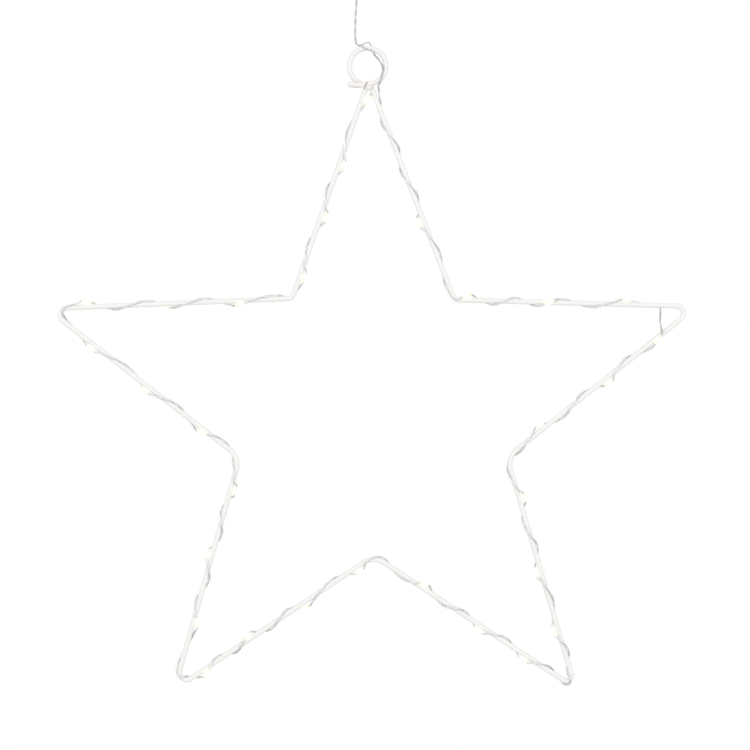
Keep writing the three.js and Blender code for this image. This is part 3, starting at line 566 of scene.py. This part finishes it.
# Each corner's bend: how far it turns, how far along the side it reaches, its centre and first spoke.
bendRadii = np.where(step % 2, star["lowerNotchBend"], star["tipBend"]).astype(float)
bendRadii[[1, cornerCount - 1]] = star["upperNotchBend"]
bendRadii[star["sharpTip"]] = star["sharpTipBend"]
cameIn = np.roll(sideAlong, 1, axis=0)
bendTurn = np.arctan2(cameIn[:, 2] * sideAlong[:, 0] - cameIn[:, 0] * sideAlong[:, 2],
                      (cameIn * sideAlong).sum(axis=1))
bendReach = bendRadii * np.tan(np.abs(bendTurn) / 2)
bendReach[0] = 0
bendCentre = corners + unit(sideAlong - cameIn) * (bendRadii / np.cos(bendTurn / 2))[:, None]
bendSpoke = corners - cameIn * bendReach[:, None] - bendCentre


# The middle of the frame wire at distances along the sides, its direction, and the inward side.
def frameAt(distance):
    distance = np.array(distance, float, ndmin=1)
    k = np.minimum(np.searchsorted(sideStarts[1:], distance, side="left"), cornerCount - 1)
    past = distance - sideStarts[k]
    first = past < sideLengths[k] / 2
    bend = np.where(first, k, k + 1) % cornerCount
    offset = np.where(first, past, past - sideLengths[k])
    inBend = np.abs(offset) < bendReach[bend]
    reach = np.maximum(bendReach[bend], 1e-9)   # the apex has no bend
    angle = bendTurn[bend] * (offset / reach + 1) / 2
    straight = corners[k] + sideAlong[k] * past[:, None]
    place = np.where(inBend[:, None], bendCentre[bend] + turnedAboutY(bendSpoke[bend], angle),
                     straight)
    along = np.where(inBend[:, None], turnedAboutY(cameIn[bend], angle), sideAlong[k])
    return place, along, xyz(along[:, 2], 0, -along[:, 0])


ringStart, ringEnd = math.radians(star["ringStart"]), math.radians(star["ringEnd"])
ringCentre = corners[0] + [star["ringOffset"], 0, star["ringRadius"] - star["neckDrop"]]


# The ring: a circle whose first part leans forward, the lean dying off as a smooth step.
def ringAt(angle):
    angle = np.array(angle, float, ndmin=1)
    swept = (angle - ringStart) / math.radians(star["crossingSweep"])
    forward = star["crossingDepth"] * (1 - swell(swept))
    spoke = xyz(np.cos(angle), 0, np.sin(angle))
    place = ringCentre + spoke * star["ringRadius"] + forward[:, None] * towardsFront
    return place, xyz(spoke[:, 2], 0, -spoke[:, 0]), -spoke


# A cubic curve from start to end: the powers of t and 1 - t weigh its ends and its two handles.
def bezier(start, startHandle, endHandle, end, count):
    t = np.linspace(0, 1, count)[:, None]
    return ((1 - t) ** 3 * start + 3 * (1 - t) ** 2 * t * startHandle
            + 3 * (1 - t) * t ** 2 * endHandle + t ** 3 * end)


apexCosine = -(sideAlong[0] * sideAlong[-1]).sum()
apexAngle = math.acos(apexCosine)
neckStop = star["crossingDepth"] / (2 * math.sin(apexAngle / 2))
weldPlace = (frameAt(neckStop)[0][0] + frameAt(perimeter - neckStop)[0][0]) / 2
weldFoot = weldPlace[2] - star["wireDiameter"] / 2
ringBottom = ringAt(ringStart)[0][0]


# Stub, ring, neck and ten sides as one line.
def frameLine():
    out, down = star["stub"]
    share = np.linspace(0, 1, star["stubRows"])[:-1, None]
    stub = (ringBottom - (1 - share) * [out, 0, down]
            - star["stubArch"] * np.sin(math.pi * share) * upwards)
    ringPlaces = ringAt(np.arange(ringStart, ringEnd, star["walkStep"] / star["ringRadius"]))[0]
    (endPlace,), (endAlong,), _ = ringAt(ringEnd)
    (entryPlace,), (entryAlong,), _ = frameAt(star["neckReach"])
    handle = np.linalg.norm(endPlace - entryPlace) / 2
    neck = bezier(endPlace, endPlace - endAlong * handle, entryPlace - entryAlong * handle,
                  entryPlace, star["neckRows"])
    sides = frameAt(np.arange(star["neckReach"] + star["walkStep"], perimeter - neckStop,
                              star["walkStep"]))[0]
    return np.concatenate([stub, ringPlaces, neck, sides])


# The direction out from a guide, so many turns round it from its inward side.
def outAt(inward, turns):
    angle = fullTurn * np.atleast_1d(turns)[:, None]
    return inward * np.cos(angle) + towardsFront * np.sin(angle)


# Places beside a guide and the directions out to them: so many turns round it, so far from its middle.
def standOff(guide, turns, radius):
    radial = outAt(guide[2], turns)
    return guide[0] + radial * np.atleast_1d(radius)[:, None], radial


tightRadius = (star["wireDiameter"] + string["cordDiameter"]) / 2 + string["gap"]
dropLift = (string["dropDiameter"] - string["cordDiameter"]) / 2
dropHold = string["dropLength"] / 2 + string["gap"]
apexReach = max(
    ((star["wireDiameter"] + string["dropDiameter"]) / 2 + string["gap"]
     + (tightRadius + dropLift) * apexCosine) / math.sin(apexAngle),
    (corners[0][2] - weldFoot + dropHold + string["tail"]) / math.cos(apexAngle / 2),
)
# The solids keep a gap to the wire; the strands and drops shown here lie nearly on it.
restRadius = (star["wireDiameter"] / 2 + string["strandOffset"] + string["strandDiameter"] / 2
              + string["restGap"])
restLift = (star["wireDiameter"] + drop["diameter"]) / 2 + string["restGap"] - restRadius


# Where the string is pinned: along the frame or an angle on the ring, turns made, lift off the wire.
def waypoints(hitch):
    found = [{"angle": math.radians(angle), "turns": turns, "lift": lift * string["hitchLift"]}
             for angle, turns, lift in hitch]
    turns, last = hitch[-1][1], string["neckStart"]
    front, behind = 0.25, 0.75   # shares of a turn round the wire

    def addPin(lift=0, **kind):
        found.append({"along": last, "turns": turns, "lift": lift, **kind})

    def wind(along, share, lift=0, **kind):
        nonlocal turns, last
        part = (share - turns) % 1
        turns += part + max(0, math.floor((along - last) / string["pitch"] - part + 0.5))
        last = along
        addPin(lift, **kind)

    addPin(jump=True)
    for k, places in enumerate(string["ledShares"]):
        if k == string["freeTip"]:
            before, past = string["crossing"]
            wind(sideStarts[k] - before, behind, restLift / 2)
            last = sideStarts[k] + past
            turns += behind - front
            addPin(restLift / 2, jump=True, bow=string["tipBow"])
        if k in string["tipPasses"]:
            wind(sideStarts[k] + string["tipPasses"][k], front)
        for share, side in places:
            wind(sideStarts[k] + share * sideLengths[k], side, restLift, led=True)
    wind(perimeter - apexReach, 0, restLift, led=True)
    return found


# The wire under a pin: the ring, or the side it is on.
def guideOf(point):
    return ringAt(point["angle"]) if "angle" in point else frameAt(point["along"])


# Where a pin holds the string, and its direction out from the wire.
def pinned(point):
    (place,), (radial,) = standOff(guideOf(point), point["turns"], restRadius + point["lift"])
    return place, radial


# Places between two pins. Along a side the string stands off by its rest radius, a swell near each lifted
# pin and a slow slack wave; across a tip or the neck it jumps, the tip's jump bowed inward.
def between(a, b, shares):
    shares = np.atleast_1d(shares)
    turns = a["turns"] + (b["turns"] - a["turns"]) * shares
    if "angle" in b:
        guide = ringAt(a["angle"] + (b["angle"] - a["angle"]) * shares)
        return standOff(guide, turns, restRadius + a["lift"] + (b["lift"] - a["lift"]) * shares)
    if b.get("jump"):
        share = shares[:, None]
        start, end = pinned(a)[0], pinned(b)[0]
        mixedIn = unit(guideOf(a)[2] * (1 - share) + guideOf(b)[2] * share)
        bowed = start + b.get("bow", 0) * np.sin(math.pi * share) * mixedIn
        return bowed + (end - start) * share, outAt(mixedIn, turns)
    span = b["along"] - a["along"]
    along = a["along"] + span * shares
    nearA = a["lift"] * swell(1 - shares * span / string["bulge"])
    nearB = b["lift"] * swell(1 - (1 - shares) * span / string["bulge"])
    loose = string["slack"] * (1 + np.sin(fullTurn * along / string["wave"])) / 2
    calm = np.minimum(1, np.minimum(shares, 1 - shares) / string["calmShare"])
    return standOff(frameAt(along), turns, restRadius + nearA + nearB + loose * calm)


# The string's middle line, the radial direction beside it, and where each drop sits and points.
def stringLine(hitch):
    pins = waypoints(hitch)
    nearPin = 1 / 12   # the share of a span that gives the string's direction at its pin
    room = dropHold + string["cordDiameter"]
    start, startRadial = pinned(pins[0])
    heading = unit(between(pins[0], pins[1], nearPin)[0][0] - start)
    solidStart = start + startRadial * (tightRadius - restRadius)
    entryTop = solidStart + [-string["entryOut"], 0, string["entryRise"]]
    handle = np.linalg.norm(entryTop - start) / 3
    entry = bezier(entryTop, entryTop - upwards * handle, start - heading * handle, start,
                   string["entryRows"])
    places, radials, drops = [entry], [np.tile(startRadial, (len(entry), 1))], []
    for a, b, after in zip(pins, pins[1:], [*pins[2:], None]):
        if "angle" in b:
            span = (a["angle"] - b["angle"]) * star["ringRadius"]
        else:
            span = b["along"] - a.get("along", b["along"] - string["neckSpan"])
        shares = np.linspace(0, 1, int(span / string["walkStep"]))[1:-1]
        past = shares * span
        keep = (past > room * ("led" in a)) & (span - past > room * ("led" in b))
        place, radial = between(a, b, shares[keep])
        here, hereRadial = pinned(b)
        ends = here[None]
        if "led" in b:
            direction = here - between(a, b, 1 - nearPin)[0][0]
            if after:
                direction = direction + between(b, after, nearPin)[0][0] - here
            direction = unit(direction)
            drops.append((here, direction, hereRadial))
            reach = dropHold + (0 if after else string["tail"])
            ends = np.stack([here - direction * dropHold, here + direction * reach])
        places += [place, ends]
        radials += [radial, np.tile(hereRadial, (len(ends), 1))]
    line, radial = resampled(np.concatenate(places), string["evenStep"], np.concatenate(radials))
    line, radial = smoothed(line, string["softness"]), unit(smoothed(radial, string["radialSoftness"]))
    line, radial = resampled(line, string["step"], radial)
    return line, unit(radial), drops, entryTop


stringMiddle, stringRadial, dropPlaces, entryTop = stringLine(string["hitch"])
innerMiddle, innerRadial = stringLine(string["innerHitch"])[:2]
leadTop = np.array(lead["top"])
leadFoot = leadTop - [lead["sway"], 0, lead["length"]]
starPlace = leadFoot - upwards * lead["gap"] - entryTop
print("string length", round(float(arcLength(stringMiddle)[-1])), "mm, star at", starPlace.round(3))


# The twist's angle along a path, counted back from its end.
def twistAngle(path):
    along = arcLength(path)
    return fullTurn * (along - along[-1]) / string["twistPitch"]


# One strand laid round a middle line: it stands off by the offset and turns by its angles.
def strandRings(middle, reference, angle):
    sideways, across = acrossPath(middle, reference)
    strand = middle + string["strandOffset"] * (np.cos(angle)[:, None] * sideways
                                                + np.sin(angle)[:, None] * across)
    return ringsRound(strand, sideways, string["strandDiameter"] / 2, string["sides"])


# A twisted pair down a line that hangs: the second strand is half a turn behind the first.
def twistedPair(middle, lastAngle=0):
    return [strandRings(middle, backwards, lastAngle + twistAngle(middle) + behind)
            for behind in (0, math.pi)]


# On the string the angle eases to a quarter turn where the lead joins, because its reference there
# points sideways and the lead's points back.
def stringAngle(middle):
    angle = twistAngle(middle)
    start, length = string["hitchTurn"]
    eased = swell(1 - (arcLength(middle) - start) / length)
    return angle + eased * ((fullTurn / 4 - angle[0]) % fullTurn)


print("stage: the lead")
# The free lead: the pair of strands on one smooth line from the case's strain relief to the string.
leadShares = np.array(lead["shares"])
leadRoute = leadTop - xyz(lead["sway"] * leadShares[:, 0], 0, lead["length"] * leadShares[:, 1])
overlap = upwards * lead["gap"] / 2
leadMiddle = np.concatenate([[leadRoute[0] + overlap], leadRoute, [leadRoute[-1] - overlap]])
leadMiddle = smoothed(resampled(leadMiddle, lead["step"])[0], lead["softness"])
leadWires = gridPiece("leadWires", twistedPair(leadMiddle), shadedWire, "lead", "silver_wire", "lead")

print("stage: the star's wire and string")
weld = {"radius": 2.0, "ripple": 0.03, "lobes": 3, "rows": 20, "columns": 28, "pole": 0.03}


# The weld bead: an ellipsoid from the ring's crossing down to the weld's foot, with a slight ripple.
def weldRings():
    height = np.linspace(weld["pole"], math.pi - weld["pole"], weld["rows"])[:, None]
    angle = anglesRound(weld["columns"])
    radius = weld["radius"] * (1 + weld["ripple"] * np.cos(weld["lobes"] * angle + 2 * height))
    return xyz(weldPlace[0] + radius * np.sin(height) * np.cos(angle),
               -star["crossingDepth"] / 2 + radius * np.sin(height) * np.sin(angle),
               (ringBottom[2] + weldFoot) / 2 + (ringBottom[2] - weldFoot) / 2 * np.cos(height))


# The wire's coat is thicker on the stub, thinning over the last third of it, and the wire's cut end is
# rounded as a quarter circle.
def wireRings():
    middle = frameLine()
    along = arcLength(middle)
    stubShare = np.clip(1 - along / star["stub"][0], 0, 1)
    radii = star["wireDiameter"] / 2 + star["stubCoat"] * np.minimum(1, 3 * stubShare)
    rounding = star["stubRounding"]
    radii -= rounding - np.sqrt(rounding ** 2 - (rounding - np.minimum(along, rounding)) ** 2)
    return ringsRound(middle, backwards, radii, star["sides"])


gridPiece("starWire", [wireRings() + starPlace, weldRings() + starPlace], finish["whitePowderCoat"],
          "star", "white_coat", "star_frame")

# Round the ring and across the right tip the string is painted darker as shade, as the lead is, so those
# rows are a piece of their own.
pins = waypoints(string["hitch"])
jump = max(k for k, pin in enumerate(pins) if pin.get("jump"))
shadedParts, brightParts = [], []
for middle, radial, turn in ((innerMiddle, innerRadial, 0), (stringMiddle, stringRadial, math.pi)):
    rings = strandRings(middle, radial, stringAngle(middle) + turn) + starPlace
    ends = [int(np.linalg.norm(middle - pinned(pin)[0], axis=1).argmin())
            for pin in pins[jump - 1:jump + 1]]
    cuts = [0, int(string["hitchLength"] / string["step"]), *ends, len(middle) - 1]
    parts = [rings[start:stop + 1] for start, stop in zip(cuts, cuts[1:])]
    shadedParts += parts[::2]
    brightParts += parts[1::2]
gridPiece("shadedStringWires", shadedParts, shadedWire, "star", "silver_wire")
gridPiece("stringWires", brightParts, finish["silverEnamelWire"], "star", "silver_wire", "light_string")


# A resin drop: radius = half diameter times the root of (1 - share^2.4), share from end to end, with a
# sag to one side as the resin set, and a small lobe pattern round it.
def dropRings(place, direction, radial, seed):
    draw = np.random.default_rng(seed)
    share = np.sin(np.linspace(-math.pi / 2, math.pi / 2, drop["rows"]))[:, None] * drop["end"]
    angle = anglesRound(drop["columns"])
    lobe = (1 + drop["lobe"] * np.cos(2 * angle + draw.uniform(0, fullTurn))
            - draw.uniform(0, drop["shrink"]))
    radius = drop["diameter"] / 2 * lobe * np.sqrt(1 - np.abs(share) ** drop["roundness"])
    sag = draw.uniform(-drop["sag"], drop["sag"]) * (1 - share ** 2)
    return (place + (share * drop["length"] / 2)[..., None] * direction
            + (radius * np.cos(angle) + sag)[..., None] * radial
            + (radius * np.sin(angle))[..., None] * np.cross(direction, radial))


chip = {"half": (0.55, 0.45, 0.8), "power": 8, "rows": 12, "columns": 16, "end": 0.99}


# A chip: a little block with round edges, the power-eight box of its three half sizes.
def chipRings(place, direction, radial):
    share = np.linspace(-math.pi / 2, math.pi / 2, chip["rows"])[:, None] * chip["end"]
    angle = anglesRound(chip["columns"])
    ball = xyz(np.cos(share) * np.cos(angle), np.cos(share) * np.sin(angle), np.sin(share))
    block = ball / (np.abs(ball) ** chip["power"]).sum(axis=-1, keepdims=True) ** (1 / chip["power"])
    block = block * chip["half"]
    return (place + block[..., :1] * radial + block[..., 1:2] * np.cross(direction, radial)
            + block[..., 2:] * direction)


for number, (place, direction, radial) in enumerate(dropPlaces, 1):
    spot = (place + starPlace, direction, unit(radial - (radial * direction).sum() * direction))
    name = f"{number:02d}"
    gridPiece("resinDrop" + name, [dropRings(*spot, number)], finish["clearEpoxyResin"], "star",
              "clear_resin", "led_drop_" + name)
    gridPiece("litChip" + name, [chipRings(*spot)], finish["warmPhosphor"], "star", "clear_resin")
print("drops:", len(dropPlaces))

print("stage: the battery case and what is in it")
# Planes across Y in mm: the case's back and front, the cells' middles, the cover's tongues and ribs.
case = {"back": 0, "front": -19.6, "cells": -9.4, "tongue": -17.3, "ribs": -20.2}
roundedLevels = {"battery_case": (case["back"], case["front"]),
                 "battery_cover": (case["tongue"], case["front"], case["ribs"])}
# Mouldings, stampings and a board: their finish, the rounding of their edges in mm, their slot, and the
# CAD nodes with their pieces.
for material, width, slotName, copies in [
    (finish["sparkErodedWhiteAbs"], 0.3, "white_plastic", {
        "battery_case": "caseShell", "battery_cover": "slidingCover", "circuit_cover": "screwedCover"}),
    (nickelPlate, 0.14, "nickel", {
        "positive_contact": "positivePlate", "negative_contact": "negativePlate",
        "link_contact": "linkPlate", "switch_body": "switchFrame"}),
    (finish["greenSolderMask"], 0.08, "board_green", {"circuit_board": "maskedBoard"}),
    (finish["mattEpoxyMoulding"], 0.16, "dark_epoxy", {"timer_chip": "chipMoulding"}),
]:
    for nodeName, pieceName in copies.items():
        body = "cover" if nodeName == "battery_cover" else "case"
        edgedCopy(nodeName, pieceName, material, body, slotName, width, roundedLevels.get(nodeName))

# Each place gives the node, the side, the foot and which way is up.
spring = {"turns": 4, "wide": 4.0, "narrow": 2.6, "height": 5.0, "wire": 0.6, "rows": 192, "sides": 12,
          "places": [("spring_right", 7.35, -19.3, 1), ("spring_left", -7.35, 36.1, -1)]}


# A conical spring: radius and height change evenly over its turns.
def coilSpring(name, x, foot, up):
    share = np.linspace(0, 1, spring["rows"])
    angle = fullTurn * spring["turns"] * share
    radius = spring["wide"] + (spring["narrow"] - spring["wide"]) * share
    height = spring["wire"] / 2 + (spring["height"] - spring["wire"]) * share
    line = xyz(x + radius * np.cos(angle), case["cells"] + up * radius * np.sin(angle),
               foot + up * height)
    rings = ringsRound(line, upwards, spring["wire"] / 2, spring["sides"])
    gridPiece(name + "_coil", [rings], nickelPlate, "case", "nickel", name)


for spot in spring["places"]:
    coilSpring(*spot)

# Profiles of radius and height in mm. The places are given as the springs' are.
cell = {
    "can": [(0.05, 0.35), (5.2, 0.35), (5.5, 0.05), (6.2, 0.0), (6.6, 0.1), (6.9, 0.5), (6.95, 1.2),
            (6.95, 47.6), (6.9, 48.2), (6.6, 48.6), (6.2, 48.7), (5.9, 48.4), (2.75, 48.4),
            (2.7, 48.6), (2.68, 49.6), (2.5, 49.95), (2.1, 50.08), (0.05, 50.1)],
    "seal": [(2.9, 48.35), (5.75, 48.35), (5.75, 48.62), (5.5, 48.7), (3.1, 48.7), (2.9, 48.6)],
    "sleeve": [(6.3, 0.0), (6.75, 0.05), (7.02, 0.35), (7.1, 0.9), (7.1, 12.0), (7.1, 24.0),
               (7.1, 36.0), (7.1, 47.9), (7.02, 48.45), (6.75, 48.75), (6.3, 48.8), (6.3, 48.74),
               (6.7, 48.67), (6.97, 48.1), (6.97, 0.7), (6.7, 0.13), (6.3, 0.08)],
    "columns": 64, "places": [("cell_left", -7.35, 30.8, -1), ("cell_right", 7.35, -14.0, 1)],
}


# A cell: the drawn can with its nub, a dark seal ring under the nub, and the film sleeve round it, which
# keeps each row's share of the height for its band.
def dryCell(name, x, foot, up):
    origin, columns = (x, case["cells"], foot), cell["columns"]
    can, seal, sleeve = (turnedRings(*np.array(cell[part]).T, origin, (0, 0, up), columns)
                         for part in ("can", "seal", "sleeve"))
    gridPiece(name + "_can", [can], nickelPlate, "case", "nickel", name, sharpAngle=40)
    gridPiece(name + "_seal", [seal], finish["dullSealNylon"], "case", "dark_epoxy", sharpAngle=40,
              looped=True)
    film = gridPiece(name + "_sleeve", [sleeve], finish["shrunkFilmSleeve"], "case", "cell_jacket",
                     sharpAngle=40, looped=True)
    share = np.repeat(np.array(cell["sleeve"])[:, 1] / cell["can"][-1][1], columns)
    film.data.attributes.new("rowShare", "FLOAT", "POINT").data.foreach_set(
        "value", share.astype(np.float32))


for spot in cell["places"]:
    dryCell(*spot)

screw = {"head": 1.8, "middle": 0.03, "headRows": 30, "shank": 0.85, "dome": (0.5, 1.0), "seat": 0.15,
         "arm": 0.27, "armReach": 1.05, "recess": 0.55, "pitch": 0.65, "thread": 0.17, "plain": 0.4,
         "point": 0.04, "length": 8.3, "shankRows": 90, "columns": 64, "level": -29.7,
         "places": [("circuit_screw_left", -12.25), ("circuit_screw_right", 12.25)]}


# A pan-head screw: a low dome with a cross cut into it, and a thread whose radius dips once per pitch.
def crossScrew(name, x):
    angle = anglesRound(screw["columns"])
    radius = np.linspace(screw["middle"], 1, screw["headRows"])[:, None] * screw["head"] + 0 * angle
    low, high = screw["dome"]
    height = high - (high - low) * (radius / screw["head"]) ** 3
    across, up = np.abs(radius * np.cos(angle)), np.abs(radius * np.sin(angle))
    cross = (np.minimum(across, up) < screw["arm"]) & (np.maximum(across, up) < screw["armReach"])
    height = height - screw["recess"] * cross
    under = np.array([screw["head"], screw["shank"]])[:, None] + 0 * angle
    down = np.linspace(0, screw["length"] + screw["seat"], screw["shankRows"])[1:, None]
    point = np.clip((screw["length"] + screw["seat"] - down) / screw["shank"], screw["point"], 1)
    wave = (1 + np.cos(fullTurn * down / screw["pitch"] - angle)) / 2
    cut = screw["thread"] * wave * np.clip(down - screw["plain"], 0, 1)
    radii = np.concatenate([radius, under, (screw["shank"] - cut) * point])
    heights = np.concatenate([height, screw["seat"] + 0 * under, screw["seat"] - down + 0 * angle])
    rings = turnedRings(radii, heights, (x, case["front"], screw["level"]), (0, -1, 0),
                        screw["columns"])
    gridPiece(name + "_turned", [rings], finish["blueZincPlate"], "case", "zinc_steel", name,
              sharpAngle=35)


for spot in screw["places"]:
    crossScrew(*spot)

# Radii and heights in mm; the head is its collar, neck and flange.
grip = {"bore": 0.8, "lip": 0.15, "tip": (1.3, -9.0), "collar": (2.8, -3.0), "groove": 0.38,
        "grooves": 5, "grooveShare": 0.2, "plainShare": 1 / 8, "rows": 61, "columns": 48,
        "head": [(2.8, -0.45), (2.65, -0.3), (2.0, -0.3), (2.0, 2.1), (3.05, 2.1), (3.2, 2.25),
                 (3.2, 3.15), (3.05, 3.3), (0.8, 3.3)],
        "place": (0, -9.0, -39.0)}


# The strain relief: a tapering boot, ringed with grooves so that it bends, half as deep at its tip as at
# its collar, then its neck and flange.
def leadBoot():
    share = np.linspace(0, 1, grip["rows"])
    (tipRadius, tipHeight), (collarRadius, collarHeight) = grip["tip"], grip["collar"]
    wave = np.clip(grip["grooveShare"] - np.cos(fullTurn * grip["grooves"] * share), 0, 1)
    dip = grip["groove"] * wave * np.clip(np.minimum(share, 1 - share) / grip["plainShare"], 0, 1)
    taper = np.stack([tipRadius + (collarRadius - tipRadius) * share - dip * (0.5 + share / 2),
                      tipHeight + (collarHeight - tipHeight) * share], axis=1)
    start = [[grip["bore"], tipHeight], [tipRadius - grip["lip"], tipHeight]]
    profile = np.concatenate([start, taper[1:], grip["head"]])
    rings = turnedRings(*profile.T, grip["place"], (0, 0, 1), grip["columns"])
    gridPiece("groovedBoot", [rings], finish["softMattVinyl"], "case", "soft_white", "lead_grommet",
              sharpAngle=40, looped=True)


leadBoot()

# The lead inside the case: the same twisted pair, so it meets the free lead's strands at the boot's tip.
inner = {"top": -29.7, "step": 0.3}
innerRoute = resampled(np.array([[*leadTop[:2], inner["top"]], leadMiddle[0]]), inner["step"])[0]
gridPiece("leadInnerWires", twistedPair(innerRoute, twistAngle(leadMiddle)[0]), shadedWire, "case",
          "silver_wire", "lead_inner")

resistor = {"radius": 0.95, "waist": 0.77, "bead": 1.1, "shoulder": 0.4, "cap": 0.6, "lead": 0.01,
            "place": (lacquer["foot"], -12.05, -32.67), "length": lacquer["length"], "rows": 61,
            "columns": 36}


# The series resistor: two round end beads joined by a slimmer waist.
def dippedResistor():
    share = (1 - np.cos(np.linspace(0, math.pi, resistor["rows"]))) / 2
    fromEnd = np.minimum(share, 1 - share) * resistor["length"]
    neck = swell((fromEnd - resistor["bead"]) / resistor["shoulder"])
    full = resistor["radius"] + (resistor["waist"] - resistor["radius"]) * neck
    rounding = np.clip(fromEnd / resistor["cap"], 0.001, 1)   # never 0, so the end rows stay rings
    radii = full * np.sqrt(1 - (1 - rounding) ** 2) + resistor["lead"]
    rings = turnedRings(radii, share * resistor["length"], resistor["place"], (1, 0, 0),
                        resistor["columns"])
    gridPiece("dippedResistor", [rings], finish["dippedTanLacquer"], "case", "tan_ceramic",
              "series_resistor")


dippedResistor()

# The line gives how far a leg is out from the chip's edge, and its level.
leg = {"places": (-6.405, -5.135, -3.865, -2.595), "width": 0.41, "thickness": 0.2,
       "edges": ((-30.67, 1), (-34.67, -1)),
       "line": [(-0.1, -11.75), (0.15, -11.75), (0.28, -11.65), (0.34, -11.15), (0.42, -10.97),
                (0.5, -10.93), (0.75, -10.93)]}


# The chip's legs: flat strips that leave its sides, step down and stand on the board.
def chipLegs():
    grids = []
    corner = np.array([[1, 1], [-1, 1], [-1, -1], [1, -1]], float)
    out, level = np.array(leg["line"]).T
    for x in leg["places"]:
        for edge, side in leg["edges"]:
            middle = xyz(x, level, edge + side * out)
            across = unit(np.cross(np.gradient(middle, axis=0), rightwards))
            grids.append(middle[:, None] + corner[:, :1] * rightwards * leg["width"] / 2
                         + corner[:, 1:] * across[:, None] * leg["thickness"] / 2)
    gridPiece("chipLegs", grids, nickelPlate, "case", "nickel", sharpAngle=30)


chipLegs()

knob = {"middle": -2.0, "half": 1.2, "front": -20.4, "foot": -13.5, "ridge": 0.26, "ridges": 4,
        "ends": (-27.7, -25.7), "rounding": 0.2, "edgeDrop": 0.25, "edgeShare": 1 / 12, "shoulder": 0.5,
        "faceRows": 65, "sideRows": 12, "endRows": 5}


# The slide knob: a bar drawn along Z whose outer face has ridges for a fingertip, its ends rounded.
def slideKnob():
    share = np.linspace(-1, 1, knob["faceRows"])
    valley = knob["ridge"] * (1 + np.cos(math.pi * (knob["ridges"] * share + knob["ridges"]))) / 2
    level = knob["front"] + knob["ridge"] - valley
    edge = np.clip((np.abs(share) - 1) / knob["edgeShare"] + 1, 0, 1)
    face = np.stack([share * knob["half"], level + knob["edgeDrop"] * edge ** 2], axis=1)
    sides = np.linspace(knob["front"] + knob["shoulder"], knob["foot"], knob["sideRows"])
    right = np.stack([np.full(len(sides), knob["half"]), sides], axis=1)
    profile = np.concatenate([face, right, right[::-1] * [-1, 1]])
    middle = np.array([0, (knob["front"] + knob["foot"]) / 2])
    low, high = knob["ends"]
    turn = np.linspace(0, math.pi / 2, knob["endRows"])
    inset = knob["rounding"] * (1 - np.sin(turn))
    ends = knob["rounding"] * (1 - np.cos(turn))
    insets = np.concatenate([inset, inset[::-1]])
    levels = np.concatenate([low + ends, high - ends[::-1]])
    grid = profile - np.clip(profile - middle, -1, 1) * insets[:, None, None]
    rings = xyz(grid[..., 0] + knob["middle"], grid[..., 1], levels[:, None])
    gridPiece("ridgedKnob", [rings], finish["mouldedGreyNylon"], "knob", "grey_plastic", "switch_knob",
              sharpAngle=40)


slideKnob()
